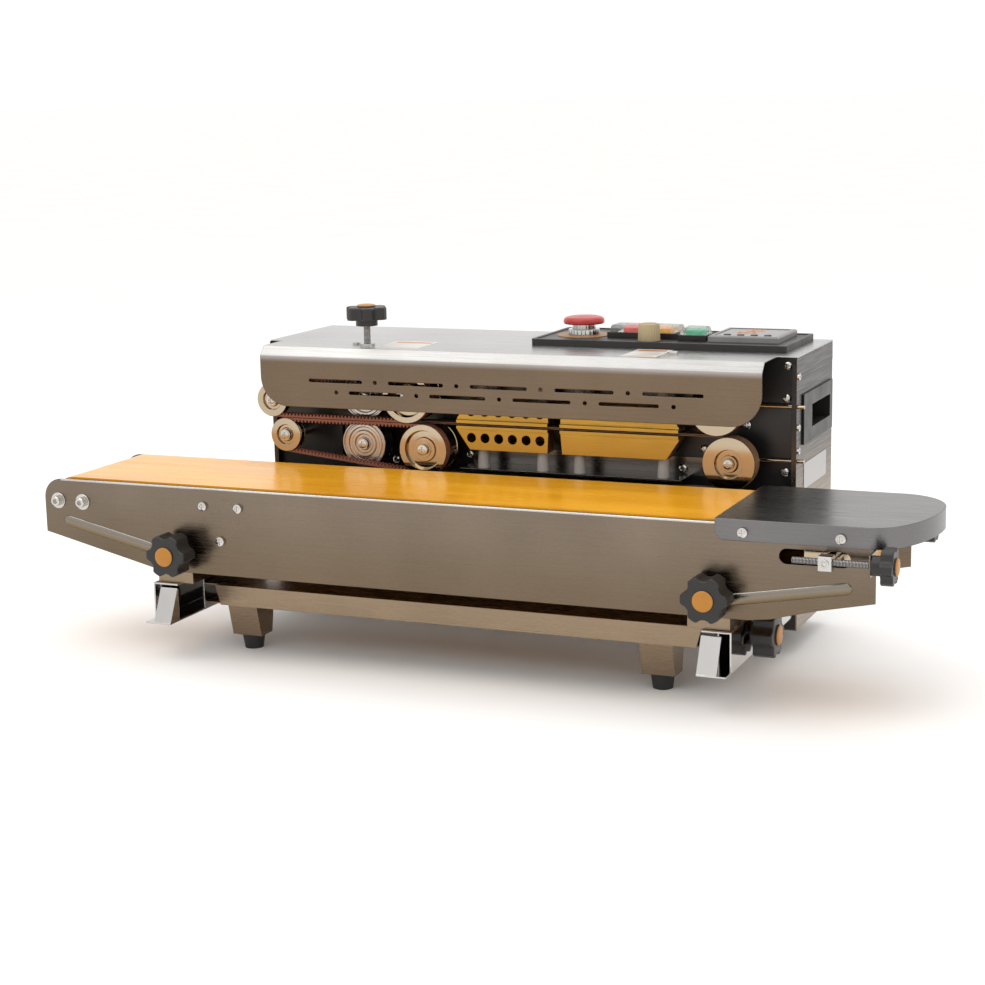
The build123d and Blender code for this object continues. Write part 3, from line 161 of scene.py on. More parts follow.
def brushed(name, color, roughness, grain, edge=0.0005, heights=None, share=None):
    """Brushed or turned metal; grain stretches the scratches; heights and share, when given, set the painted
    shade by height.
    """
    material, nodes, links, principled = shader(name, color, 1.0, roughness)
    fine = noise(nodes, links, 900.0, 3.0, grain)
    cloud = noise(nodes, links, 9.0, 5.0)
    dark = tuple(c * 0.84 for c in color)
    tint = ramp(nodes, links, cloud, dark, color)
    # painted shade and reflection that change with height
    if heights:
        tint = shade_by_height(nodes, links, tint, heights, share)
    links.new(tint, principled.inputs["Base Color"])
    links.new(spread(nodes, links, fine, roughness * 0.75, roughness * 1.3), principled.inputs["Roughness"])
    relief(nodes, links, principled, fine, 0.00004, 0.35, edge)
    return material


def shade_by_slope(material):
    """Paints light by slope: lightens what faces up as a painted highlight and turns what faces down golden
    as a painted reflection, as a pressed bead looks in a room.
    """
    nodes = material.node_tree.nodes
    links = material.node_tree.links
    facing = nodes.new("ShaderNodeNewGeometry")
    split = nodes.new("ShaderNodeSeparateXYZ")
    links.new(facing.outputs["Normal"], split.inputs["Vector"])
    amount = nodes.new("ShaderNodeMapRange")
    amount.inputs["From Min"].default_value = -0.5
    amount.inputs["From Max"].default_value = 0.5
    links.new(split.outputs["Z"], amount.inputs["Value"])
    tint = ramp(nodes, links, amount.outputs["Result"], (0.185, 0.135, 0.075), (0.255, 0.235, 0.21), 0.2, 0.8)
    links.new(tint, nodes["Principled BSDF"].inputs["Base Color"])


def plastic(name, color, roughness=0.45, texture_scale=1400.0, edge=0.0006, strength=0.25):
    """Moulded plastic or rubber with a fine texture and slight colour variation."""
    material, nodes, links, principled = shader(name, color, 0.0, roughness)
    fine = noise(nodes, links, texture_scale, 2.0)
    cloud = noise(nodes, links, 40.0, 3.0)
    dark = tuple(c * 0.8 for c in color)
    links.new(ramp(nodes, links, cloud, dark, color), principled.inputs["Base Color"])
    links.new(spread(nodes, links, cloud, roughness * 0.85, roughness * 1.15), principled.inputs["Roughness"])
    relief(nodes, links, principled, fine, 0.00008, strength, edge)
    return material


def belt_material():
    """Glossy amber coated belt with a faint marbling and fine scuffs along its travel."""
    material, nodes, links, principled = shader("belt_coating", (0.76, 0.34, 0.014), 0.0, 0.24)
    principled.inputs["Coat Weight"].default_value = 0.15
    principled.inputs["Coat Roughness"].default_value = 0.08
    marble = noise(nodes, links, 11.0, 6.0, (0.45, 1.6, 1.0))
    color = ramp(nodes, links, marble, (0.70, 0.300, 0.010), (0.80, 0.375, 0.018), 0.35, 0.68)
    links.new(color, principled.inputs["Base Color"])
    scuffs = noise(nodes, links, 60.0, 4.0, (0.08, 1.0, 1.0))
    links.new(spread(nodes, links, scuffs, 0.19, 0.32), principled.inputs["Roughness"])
    weave = noise(nodes, links, 700.0, 2.0)
    relief(nodes, links, principled, weave, 0.00003, 0.2)
    return material


def clear_material(name, color):
    """Clear soft plastic, lightly milky, over a coloured lamp."""
    material, nodes, links, principled = shader(name, color, 0.0, 0.12,
                                                Transmission_Weight=0.9, IOR=1.3, Alpha=0.6)
    cloud = noise(nodes, links, 180.0, 3.0)
    links.new(spread(nodes, links, cloud, 0.08, 0.22), principled.inputs["Roughness"])
    relief(nodes, links, principled, cloud, 0.0001, 0.15)
    return material


def glow_material(name, color, strength):
    """Lit plastic, such as a lamp or a digit."""
    material, nodes, links, principled = shader(name, color, 0.0, 0.3)
    cloud = noise(nodes, links, 260.0, 2.0)
    glow = ramp(nodes, links, cloud, tuple(c * 0.75 for c in color), color)
    links.new(glow, principled.inputs["Base Color"])
    links.new(glow, principled.inputs["Emission Color"])
    principled.inputs["Emission Strength"].default_value = strength
    return material


# Painted reflection: the stainless parts are copies of one steel whose base colours are set part by part to
# paint what each reflects, dark and warm for the sheets, wall and frame, grey for the table and shelves,
# light for the cover.
STEEL = brushed("stainless_sheet", (0.21, 0.168, 0.130), 0.27, (0.02, 1, 1), 0.0010,
                # painted shade: darker and warmer below 0.18 m, fully so below 0.085 m
                (0.085, 0.18), ((0.80, 0.74, 0.64), (1, 1, 1)))
COOL = brushed("stainless_table", (0.185, 0.18, 0.18), 0.28, (0.02, 1, 1), 0.0016)
TOP = brushed("stainless_cover", (0.50, 0.495, 0.49), 0.28, (0.02, 1, 1), 0.0012,
              # painted reflection: the face below the fold line, under 0.283 to 0.2925 m, is painted brown
              (0.283, 0.2925), ((0.37, 0.275, 0.190), (1, 1, 1)))
PANEL = brushed("stainless_wall", (0.29, 0.225, 0.160), 0.30, (1, 0.02, 1), 0.0008,
                # painted reflection: darker and bluer from 0.12 m up to 0.24 m
                (0.12, 0.24), ((1, 1, 1), (0.16, 0.18, 0.24)))
FRAME_STEEL = brushed("stainless_frame", (0.29, 0.215, 0.145), 0.28, (0.02, 1, 1), 0.0008)
SHELF = brushed("dark_shelf_steel", (0.22, 0.205, 0.19), 0.22, (0.02, 1, 1), 0.0004)
POLISHED = brushed("polished_steel", (0.60, 0.585, 0.57), 0.10, (1, 1, 0.05), 0.0010)
TURNED = brushed("turned_steel", (0.50, 0.405, 0.285), 0.09, (1, 0.05, 1), 0.0004)
SCREW = brushed("screw_steel", (0.62, 0.60, 0.57), 0.16, (1, 1, 1), 0.0002)
ALUMINIUM = brushed("press_aluminium", (0.50, 0.45, 0.41), 0.14, (1, 0.1, 1), 0.0005)
GOLD = brushed("gold_anodised", (0.52, 0.31, 0.060), 0.34, (0.03, 1, 1), 0.0005)
BLACK_PAINT = plastic("black_powder_coat", (0.010, 0.009, 0.009), 0.33, 1800.0, 0.0006, 0.15)
BLACK = plastic("black_plastic", (0.012, 0.011, 0.010), 0.40, 1500.0, 0.0010)
RUBBER = plastic("black_rubber", (0.013, 0.012, 0.012), 0.62, 1000.0, 0.0010)
AMBER = plastic("amber_cap", (0.46, 0.185, 0.010), 0.38, 1500.0, 0.0005)
RED = plastic("red_plastic", (0.44, 0.022, 0.020), 0.28, 1500.0, 0.0008)
RED_LAMP = glow_material("red_rocker", (0.60, 0.03, 0.02), 0.12)
AMBER_LAMP = glow_material("amber_rocker", (0.70, 0.34, 0.05), 0.12)
GREEN_LAMP = glow_material("green_rocker", (0.02, 0.36, 0.20), 0.12)
DIGIT = glow_material("lit_digit", (0.70, 0.18, 0.02), 0.35)
BEIGE = plastic("beige_plastic", (0.42, 0.33, 0.19), 0.5, 1200.0, 0.0006)
CONTROLLER = plastic("controller_plastic", (0.24, 0.235, 0.235), 0.38, 1500.0, 0.0006)
GREY = plastic("grey_plastic", (0.045, 0.045, 0.047), 0.36, 1500.0, 0.0008)
DARK_FACE = plastic("dark_window", (0.030, 0.027, 0.026), 0.14, 900.0, 0.0003, 0.05)
CERAMIC = plastic("ceramic", (0.36, 0.325, 0.30), 0.5, 900.0, 0.0006)
GUIDE = plastic("guide_urethane", (0.23, 0.075, 0.042), 0.55, 1300.0, 0.0003)
BAND = plastic("coated_band", (0.17, 0.085, 0.040), 0.4, 1600.0, 0.0002)
MOTOR = plastic("motor_enamel", (0.06, 0.065, 0.075), 0.4, 700.0, 0.001)
LEGEND = plastic("legend_plate", (0.34, 0.15, 0.03), 0.4, 1200.0, 0.0002)
LABEL = plastic("blank_label", (0.62, 0.60, 0.56), 0.35, 900.0, 0.0001, 0.1)
LABEL_LINE = plastic("label_border", (0.50, 0.19, 0.05), 0.35, 900.0, 0.0001, 0.1)
PLATE = brushed("rating_plate", (0.50, 0.49, 0.48), 0.35, (0.05, 1, 1), 0.0002)
CHAIN = brushed("chain_steel", (0.16, 0.145, 0.13), 0.4, (1, 1, 1), 0.0003)
BELT = belt_material()
BEAD = brushed("pressed_bead", (0.30, 0.26, 0.215), 0.22, (0.2, 1, 1), 0.0005)
# painted highlight and reflection on the beads, by slope
shade_by_slope(BEAD)
CLEAR = clear_material("clear_boot", (0.96, 0.95, 0.9))

BY_SLOT = {
    "stainless": STEEL, "polished_steel": POLISHED, "belt": BELT, "black_paint": BLACK_PAINT,
    "black_plastic": BLACK, "rubber": RUBBER, "machined_steel": TURNED, "gold_block": GOLD,
    "ceramic": CERAMIC, "guide_belt": GUIDE, "seal_band": BAND, "press_rubber": ALUMINIUM,
    "red_plastic": RED, "amber_plastic": AMBER_LAMP, "green_plastic": GREEN_LAMP, "beige_plastic": BEIGE,
    "grey_plastic": GREY, "clear_cover": CLEAR, "motor_paint": MOTOR, "chain_steel": CHAIN,
}
BY_NODE = {
    "top_cover": TOP, "infeed_table": COOL, "side_panels": PANEL,
    "front_base_rail": FRAME_STEEL, "slide_brackets": FRAME_STEEL, "block_shelves": SHELF,
    "red_rocker": RED_LAMP, "conveyor_fasteners": SCREW, "panel_fasteners": SCREW,
    "press_knob": BLACK, "temperature_controller": CONTROLLER,
}
for entry in frame["record"]["subparts"]:
    shown = frame["nodes"][entry["node"]]
    finish = BY_NODE.get(entry["node"], BY_SLOT[entry["material_slot"]])
    if not shown.material_slots:
        shown.data.materials.append(finish)
    for material_slot in shown.material_slots:
        material_slot.material = finish


# ---------------------------------------------------------------- mesh helpers
def piece(name, mesh_builder, material, body, smooth=True):
    """New object from a bmesh, smoothed below 35 degrees, riding on a body."""
    mesh = bpy.data.meshes.new(name)
    bmesh.ops.recalc_face_normals(mesh_builder, faces=mesh_builder.faces[:])
    mesh_builder.to_mesh(mesh)
    mesh_builder.free()
    mesh.materials.append(material)
    thing = bpy.data.objects.new(name, mesh)
    bpy.context.scene.collection.objects.link(thing)
    if smooth:
        mesh.shade_smooth()
        mesh.set_sharp_from_angle(angle=radians(35))
    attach(thing, body)
    return thing


def axes_for(normal):
    """Two directions across a normal."""
    normal = Vector(normal).normalized()
    side = Vector((0, 0, 1)) if abs(normal.z) < 0.9 else Vector((0, 1, 0))
    first = side.cross(normal).normalized()
    return first, normal.cross(first), normal


def turned(builder, centre, normal, profile, segments=48, wobble=None):
    """Adds a solid of revolution from (radius, height) points in millimetres; closes on the axis."""
    first, second, normal = axes_for(normal)
    rings = []
    for radius, height in profile:
        if radius < 1e-6:
            rings.append([builder.verts.new(centre + normal * height * MM)])
            continue
        ring = []
        for step in range(segments):
            angle = 2 * pi * step / segments
            r = radius * (wobble(angle, radius) if wobble else 1.0)
            ring.append(builder.verts.new(
                centre + (first * cos(angle) + second * sin(angle)) * r * MM + normal * height * MM))
        rings.append(ring)
    for low, high in zip(rings, rings[1:]):
        for step in range(segments):
            after = (step + 1) % segments
            corners = (low[step % len(low)], low[after % len(low)],
                       high[after % len(high)], high[step % len(high)])
            unique = list(dict.fromkeys(corners))
            if len(unique) > 2:
                builder.faces.new(unique)


HEAD_RINGS = 14
HEAD_STEPS = 48
RECESS = {"cross": 0.55, "hex": 0.6}  # depth, as a share of the head's height


def in_recess(x, y, radius, drive):
    """Whether a point of a screw's head lies in its recess."""
    reach = hypot(x, y)
    if drive == "cross":
        return reach < radius * 0.62 and min(abs(x), abs(y)) < radius * 0.13
    return reach < radius * 0.52


def screw_head(builder, centre, normal, radius, height, drive):
    """Domed head whose recess is pressed into a polar grid; drive is 'cross' or 'hex'."""
    first, second, normal = axes_for(normal)
    top = []
    for ring in range(1, HEAD_RINGS + 1):
        fraction = ring / HEAD_RINGS
        row = []
        for step in range(HEAD_STEPS):
            angle = 2 * pi * step / HEAD_STEPS
            x = radius * fraction * cos(angle)
            y = radius * fraction * sin(angle)
            level = height * (1 - 0.45 * fraction ** 3)
            if in_recess(x, y, radius, drive):
                level -= height * RECESS[drive]
            row.append(builder.verts.new(centre + (first * x + second * y + normal * level) * MM))
        top.append(row)
    hub = builder.verts.new(centre + normal * height * (1 - RECESS[drive]) * MM)
    angles = [2 * pi * step / HEAD_STEPS for step in range(HEAD_STEPS)]
    base = [builder.verts.new(centre + (first * cos(angle) + second * sin(angle)) * radius * MM)
            for angle in angles]
    for step in range(HEAD_STEPS):
        after = (step + 1) % HEAD_STEPS
        builder.faces.new((hub, top[0][step], top[0][after]))
        for inner, outer in zip(top, top[1:] + [base]):
            builder.faces.new((inner[step], outer[step], outer[after], inner[after]))
    builder.faces.new(base)


def plate(builder, corners, thickness, normal):
    """Thin plate over an outline of points, standing out along the normal."""
    lift = Vector(normal) * thickness * MM
    low = [builder.verts.new(c) for c in corners]
    high = [builder.verts.new(c + lift) for c in corners]
    builder.faces.new(low)
    builder.faces.new(high)
    for index in range(len(corners)):
        after = (index + 1) % len(corners)
        builder.faces.new((low[index], low[after], high[after], high[index]))


def level_rectangle(x0, x1, y0, y1, z):
    """Corners of a rectangle that lies level."""
    return [at(x0, y0, z), at(x1, y0, z), at(x1, y1, z), at(x0, y1, z)]


# ---------------------------------------------------------------- toothed guide belts
SEAL_Z = 223.5  # height at which the upper and lower belts meet
HALF_GAP = 0.3  # from there to each belt
RUN = 26.5  # radius of a belt's outside on a drive wheel
IDLER_RUN = 18.0  # and on an idler
PRESS_RADIUS = 25.0
# x and z of each wheel of the sealing head
LOWER_IDLER = (194.0, SEAL_Z - HALF_GAP - IDLER_RUN)
UPPER_IDLER = (179.0, SEAL_Z + HALF_GAP + IDLER_RUN)
LOWER_PRESS = (281.0, SEAL_Z - HALF_GAP - PRESS_RADIUS)
UPPER_PRESS = (283.0, SEAL_Z + HALF_GAP + PRESS_RADIUS)
LOWER_DRIVE = (354.0, SEAL_Z - HALF_GAP - RUN)
UPPER_DRIVE = (336.0, SEAL_Z + HALF_GAP + RUN)
LOWER_TENSION = (676.0, SEAL_Z - HALF_GAP - RUN)
UPPER_TENSION = (663.0, SEAL_Z + HALF_GAP + RUN)
GUIDE_Y = (163.5, 171.5)
BACK = 1.9  # thickness of the belt between two teeth
TOOTH = 2.4  # depth of a tooth
TOOTH_PITCH = 4.1
SECTIONS = 4  # cross sections to a tooth's pitch, two of them on the tooth


def belt_path(first, first_radius, second, second_radius, step):
    """Points and outward normals round two wheels, first wheel on the left."""
    between = Vector((second[0] - first[0], second[1] - first[1]))
    run = between.length
    heading = atan2(between.y, between.x)
    lean = pi / 2 + atan2(second_radius - first_radius,
                          (run ** 2 - (second_radius - first_radius) ** 2) ** 0.5)
    arcs = ((second, second_radius, heading - lean, heading + lean),
            (first, first_radius, heading + lean, heading - lean + 2 * pi))
    points = []
    for (x, z), radius, start, end in arcs:
        count = max(6, round(radius * (end - start) / step))
        for index in range(count + 1):
            angle = start + (end - start) * index / count
            points.append(((x + radius * cos(angle), z + radius * sin(angle)), (cos(angle), sin(angle))))
        following = first if (x, z) == second else second
        other = first_radius if (x, z) == second else second_radius
        tail = points[-1][0]
        head = (following[0] + other * cos(end), following[1] + other * sin(end))
        length = hypot(head[0] - tail[0], head[1] - tail[1])
        straight = max(2, round(length / step))
        for index in range(1, straight):
            share = index / straight
            points.append(((tail[0] + (head[0] - tail[0]) * share, tail[1] + (head[1] - tail[1]) * share),
                           (cos(end), sin(end))))
    return points


def toothed_belt(builder, first, first_radius, second, second_radius, y):
    """Belt with trapezoid teeth on its inside."""
    path = belt_path(first, first_radius, second, second_radius, TOOTH_PITCH / SECTIONS)
    path = path[:len(path) - len(path) % SECTIONS]
    sections = []
    for index, ((x, z), (nx, nz)) in enumerate(path):
        depth = BACK + (TOOTH if index % SECTIONS in (1, 2) else 0.0)
        outer = (x, z)
        inner = (x - nx * depth, z - nz * depth)
        sections.append([builder.verts.new(at(px, py, pz)) for (px, pz), py in
                         ((outer, y[0]), (outer, y[1]), (inner, y[1]), (inner, y[0]))])
    for index, section in enumerate(sections):
        after = sections[(index + 1) % len(sections)]
        for corner in range(4):
            following = (corner + 1) % 4
            builder.faces.new((section[corner], section[following], after[following], after[corner]))


belts = bmesh.new()
toothed_belt(belts, LOWER_IDLER, IDLER_RUN, LOWER_DRIVE, RUN, GUIDE_Y)
toothed_belt(belts, UPPER_IDLER, IDLER_RUN, UPPER_DRIVE, RUN, GUIDE_Y)
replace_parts(piece("toothed_belts", belts, GUIDE, "machine", smooth=False), "guide_belts")

# ---------------------------------------------------------------- knob caps
CAP_PROFILE = ((0, 1.5), (6.6, 1.4), (8.8, 1.0), (9.6, 0.3), (9.7, -0.6), (0, -0.6))
SMALL_CAP = tuple((r * 0.82, h) for r, h in CAP_PROFILE)
KNOB_CAPS = (
    ("left_clamp_knob", (0, -1, 0), CAP_PROFILE, "left_clamp"),
    ("right_clamp_knob", (0, -1, 0), CAP_PROFILE, "right_clamp"),
    ("right_rail_knob", (1, 0, 0), CAP_PROFILE, "rail_knob"),
    ("front_tension_knob", (1, 0, 0), SMALL_CAP, "front_tension"),
    ("rear_tension_knob", (1, 0, 0), SMALL_CAP, "rear_tension"),
    ("press_knob", (0, 0, 1), CAP_PROFILE, "press_screw"),
)
for node, normal, profile, body in KNOB_CAPS:
    centre = middle(node)
    if normal[0]:
        centre.x = top_of(node).x
    elif normal[2]:
        centre.z = top_of(node).z
    else:
        centre.y = bottom_of(node).y
    cap = bmesh.new()
    turned(cap, at(*centre), normal, profile)
    piece(node.replace("knob", "cap"), cap, AMBER, body)

# steel threads over the studs, which are one CAD solid with their knobs
THREAD_PITCH = 1.25
THREAD_ROOT = 0.9  # share of the thread's outer radius
RODS = (
    ("press_screw_rod", at(285.0, 180.0, 279.9), (0, 0, 1), 3.6, 42.0, "press_screw"),
    ("front_tension_rod", at(789.9, -15.0, 152.0), (1, 0, 0), 3.04, 70.4, "front_tension"),
    ("rear_tension_rod", at(789.9, 165.0, 152.0), (1, 0, 0), 3.04, 70.4, "rear_tension"),
)
for name, start, normal, radius, length, body in RODS:
    root = radius * THREAD_ROOT
    profile = [(0, 0), (root, 0)]
    for turn in range(int(length / THREAD_PITCH)):
        profile += [(radius, THREAD_PITCH * (turn + 0.35)), (radius, THREAD_PITCH * (turn + 0.5)),
                    (root, THREAD_PITCH * (turn + 0.85))]
    profile += [(root, length), (0, length)]
    rod = bmesh.new()
    turned(rod, start, normal, profile, 24)
    piece(name, rod, POLISHED, body)

# ---------------------------------------------------------------- screws
BEARING_SCREWS = ((188.0, 159.3), (228.0, 159.3), (206.5, 125.0))
TABLE_SCREWS = ((742.0, 170.5), (830.0, 170.5))
front_screws = bmesh.new()
for places, front, rear in ((BEARING_SCREWS, -1.6, 151.6), (TABLE_SCREWS, -4.6, 156.6)):
    for x, z in places:
        screw_head(front_screws, at(x, front, z), (0, -1, 0), 4.5, 1.8, "cross")
        screw_head(front_screws, at(x, rear, z), (0, 1, 0), 4.5, 1.8, "cross")
piece("conveyor_screw_heads", front_screws, SCREW, "conveyor")

WASHER_PROFILE = ((4.0, 1.4), (7.9, 1.4), (8.2, 1.1), (8.2, 0), (4.0, 0), (4.0, 1.4))
SOCKET_PROFILE = ((0, 2.4), (2.7, 2.4), (2.7, 5.6), (4.4, 5.6), (5.1, 4.9), (5.1, 0), (0, 0))


def socket_knurl(angle, radius):
    """18 shallow ridges round a socket screw's head."""
    return 1 + 0.022 * cos(18 * angle) if radius > 5 else 1.0


sockets = bmesh.new()
for x in (16.3, 45.7):
    turned(sockets, at(x, 0, 155.0), (0, -1, 0), WASHER_PROFILE, 48)
    turned(sockets, at(x, -1.2, 155.0), (0, -1, 0), SOCKET_PROFILE, 36, socket_knurl)
piece("socket_screws", sockets, SCREW, "conveyor")

BLOCK_SCREW_Z = 183.6  # lower hex screw; the upper one mirrors it in the seal line
PANEL_SCREWS = ((725, 290), (724, 258), (723, 185), (684, 230), (640, 204), (300, 176), (308, 184),
                (386, 186), (168, 284), (168, 90), (722, 90))
panel_heads = bmesh.new()
for x, z in PANEL_SCREWS:
    screw_head(panel_heads, at(x, 211.0, z), (0, -1, 0), 4.0, 2.6, "cross")
for z in (BLOCK_SCREW_Z, 2 * SEAL_Z - BLOCK_SCREW_Z):
    screw_head(panel_heads, at(618.5, 209.0, z), (0, -1, 0), 4.4, 2.6, "hex")
for x, y in ((266.0, 193.0), (613.0, 197.0)):
    screw_head(panel_heads, at(x, y, 300.9), (0, 0, 1), 4.5, 1.8, "cross")
for z in (229.8, 207.0, 90.0, 280.0):
    screw_head(panel_heads, at(736.2, 209.0, z), (1, 0, 0), 3.6, 1.8, "cross")
piece("panel_screw_heads", panel_heads, SCREW, "machine")

AXLE_HEADS = (
    ("lower_idler_bolt", LOWER_IDLER, 160.4, 4.6, "machine"),
    ("upper_idler_bolt", UPPER_IDLER, 160.4, 4.6, "machine"),
    ("lower_press_bolt", LOWER_PRESS, 169.2, 4.6, "machine"),
    ("upper_press_bolt", UPPER_PRESS, 169.2, 4.6, "yoke"),
    ("lower_drive_bolt", LOWER_DRIVE, 160.6, 5.4, "lower_drive"),
    ("upper_drive_bolt", UPPER_DRIVE, 160.6, 5.4, "upper_drive"),
    ("lower_tension_bolt", LOWER_TENSION, 171.8, 4.6, "lower_slider"),
    ("upper_tension_bolt", UPPER_TENSION, 171.8, 4.6, "upper_slider"),
)
for name, (x, z), front, radius, body in AXLE_HEADS:
    bolt = bmesh.new()
    screw_head(bolt, at(x, front, z), (0, -1, 0), radius, 1.7, "cross")
    piece(name, bolt, SCREW, body)

# pressed beads of both side plates
BEAD_LEVELS = 8
BEAD_STEPS = 12
BEAD_SIZE = (5.5, 2.0)  # half width and height


def ridge(builder, start, end, y, side):
    """Rounded ridge between two points of a side plate; side is -1 on the front plate and 1 on the rear."""
    heading = atan2(end[1] - start[1], end[0] - start[0])
    rings = []
    for level in range(BEAD_LEVELS + 1):
        rise = pi / 2 * level / BEAD_LEVELS
        radius = max(BEAD_SIZE[0] * cos(rise), 0.02)
        ring = []
        for (x, z), turn in ((end, heading - pi / 2), (start, heading + pi / 2)):
            for step in range(BEAD_STEPS + 1):
                angle = turn + pi * step / BEAD_STEPS
                ring.append(builder.verts.new(at(x + radius * cos(angle), y + side * BEAD_SIZE[1] * sin(rise),
                                                 z + radius * sin(angle))))
        rings.append(ring)
    for low, high in zip(rings, rings[1:]):
        for step in range(len(low)):
            after = (step + 1) % len(low)
            builder.faces.new((low[step], low[after], high[after], high[step]))
    builder.faces.new(rings[0])
    builder.faces.new(rings[-1])


beads = bmesh.new()
for start, end in (((28.0, 134.5), (122.0, 113.5)), ((732.0, 108.0), (834.0, 125.5))):
    ridge(beads, start, end, 0.0, -1)
    ridge(beads, start, end, 150.0, 1)
piece("pressed_beads", beads, BEAD, "conveyor")

# screws in the tail axle's end blocks
block_screws = bmesh.new()
block_middle = middle("tail_roller_axle")
for y, side in ((bottom_of("tail_roller_axle").y, -1), (top_of("tail_roller_axle").y, 1)):
    screw_head(block_screws, at(block_middle.x, y, block_middle.z), (0, side, 0), 3.9, 1.8, "hex")
piece("axle_block_screws", block_screws, SCREW, "tail_axle")

# rolled top edge of the front plate, given bright polished steel, lighter than the plate's own, as a painted
# highlight along the edge
EDGE_LENGTH = 696.0
EDGE_PROFILE = ((0, 0), (0.9, 0), (1.2, 0.4), (1.2, EDGE_LENGTH - 0.4), (0.9, EDGE_LENGTH), (0, EDGE_LENGTH))
edge = bmesh.new()
turned(edge, at(20.0, 0.9, 176.7), (1, 0, 0), EDGE_PROFILE, 24)
piece("rolled_plate_edge", edge, POLISHED, "conveyor")

# ring pressed round the drive roller's bearing, and at the end of the right bead
OUTLINE_HEIGHT = 0.16
rings = bmesh.new()
for x, z, inner, outer in ((208.0, 148.0, 19.0, 19.5), (834.0, 125.5, 2.6, 3.5)):
    profile = ((inner, 0), (inner, OUTLINE_HEIGHT), (outer, OUTLINE_HEIGHT), (outer, 0), (inner, 0))
    turned(rings, at(x, -0.02, z), (0, -1, 0), profile, 72)
piece("bearing_outline", rings, FRAME_STEEL, "conveyor")

# ---------------------------------------------------------------- controls
# profiles of radius and height above the floor
STOP_AXIS = at(486.0, 285.0, 0)
SPEED_AXIS = at(569.5, 250.0, 0)
MUSHROOM_PROFILE = (
    (0, 317.2), (12.0, 317.2), (12.6, 316.9), (20.4, 317.2), (21.3, 318.0), (21.5, 319.6), (21.3, 321.4),
    (20.4, 322.9), (18.6, 323.9), (15.6, 324.6), (14.8, 324.3), (12, 324.5), (6, 325.3), (0, 325.5),
)
STEM_PROFILE = ((0, 306.3), (11.9, 306.3), (11.9, 317.1), (0, 317.1))
COLLAR_PROFILE = (
    (15.52, 305.2), (16.3, 305.2), (16.3, 311.2), (15.9, 311.75),
    (12.4, 311.75), (12.4, 311.55), (15.52, 311.55), (15.52, 305.2),
)
LEGEND_PROFILE = ((16.4, 305.0), (16.4, 305.8), (27.6, 305.8), (28.0, 305.5), (28.0, 305.0), (16.4, 305.0))
SPEED_PROFILE = (
    (0, 305.4), (11.4, 305.4), (11.5, 307.0), (10.7, 321.6), (10.2, 322.6),
    (9.2, 323.0), (7.6, 322.9), (7.2, 322.2), (0, 322.2),
)


def stem_grooves(angle, radius):
    """18 square grooves down the stop button's stem."""
    return 1 - 0.03 * (sin(18 * angle) > 0.2)


def collar_grooves(angle, radius):
    """24 square grooves round the outside of the stop button's collar."""
    return 1 - 0.02 * (sin(24 * angle) > 0.2) if radius > 16 else 1.0


def speed_knurl(angle, radius):
    """24 ridges down the speed knob's side."""
    return 1 + 0.03 * cos(24 * angle) - 0.03 if radius > 10 else 1.0


def upright(name, axis, profile, segments, wobble, material, body):
    """Piece turned about an upright axis."""
    builder = bmesh.new()
    turned(builder, axis, (0, 0, 1), profile, segments, wobble)
    return piece(name, builder, material, body)


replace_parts(upright("stop_button_cap", STOP_AXIS, MUSHROOM_PROFILE, 72, None,
                    RED, "stop_button"), "estop_button")
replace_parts(upright("stop_button_stem", STOP_AXIS, STEM_PROFILE, 144, stem_grooves,
                    POLISHED, "stop_button"), "estop_button")
upright("stop_button_collar", STOP_AXIS, COLLAR_PROFILE, 144, collar_grooves,
        POLISHED, "machine")
upright("stop_legend_ring", STOP_AXIS, LEGEND_PROFILE, 72, None, LEGEND, "machine")
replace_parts(upright("speed_knob_knurled", SPEED_AXIS, SPEED_PROFILE, 120, speed_knurl,
                    BEIGE, "speed_control"), "speed_knob")


def rounded_block(name, x_span, y_span, z_span, taper, offset, material, body):
    """Block narrower at its top by the taper on each side, with its upper edges rounded by the offset."""
    builder = bmesh.new()
    bmesh.ops.create_cube(builder, size=1.0)
    size = Vector((x_span[1] - x_span[0], y_span[1] - y_span[0], z_span[1] - z_span[0])) * MM
    for corner in builder.verts:
        share = 1 - 2 * taper * MM / size.x if corner.co.z > 0 else 1.0
        corner.co.x *= share
        corner.co.y *= share
    centre = at(sum(x_span) / 2, sum(y_span) / 2, sum(z_span) / 2)
    bmesh.ops.scale(builder, vec=size, verts=builder.verts[:])
    bmesh.ops.translate(builder, vec=centre, verts=builder.verts[:])
    edges = [e for e in builder.edges if max(v.co.z for v in e.verts) > centre.z]
    bmesh.ops.bevel(builder, geom=edges, offset=offset * MM, segments=5, profile=0.5, affect="EDGES")
    return piece(name, builder, material, body)


BOOT_Z = (310.5, 317.8)
LENS_Z = (309.0, 314.4)
LENS_HALF = (9.5, 8.5)  # half of a lens's size in x and y
SWITCHES = (
    ("red", (518.5, 556.0), (271.5, 298.5), RED_LAMP),
    ("amber", (556.0, 593.5), (271.5, 298.5), AMBER_LAMP),
    ("green", (597.5, 624.7), (262.5, 289.5), GREEN_LAMP),
)
for color, x_span, y_span, lamp in SWITCHES:
    cover = rounded_block(color + "_boot", x_span, y_span, BOOT_Z, 2.2, 1.4, CLEAR, "machine")
    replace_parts(cover, "rocker_covers")
    pivot = middle(color + "_rocker")
    lens = rounded_block(color + "_lens", (pivot.x - LENS_HALF[0], pivot.x + LENS_HALF[0]),
                         (pivot.y - LENS_HALF[1], pivot.y + LENS_HALF[1]), LENS_Z,
                         0.8, 1.0, lamp, color + "_switch")
    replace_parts(lens, color + "_rocker")

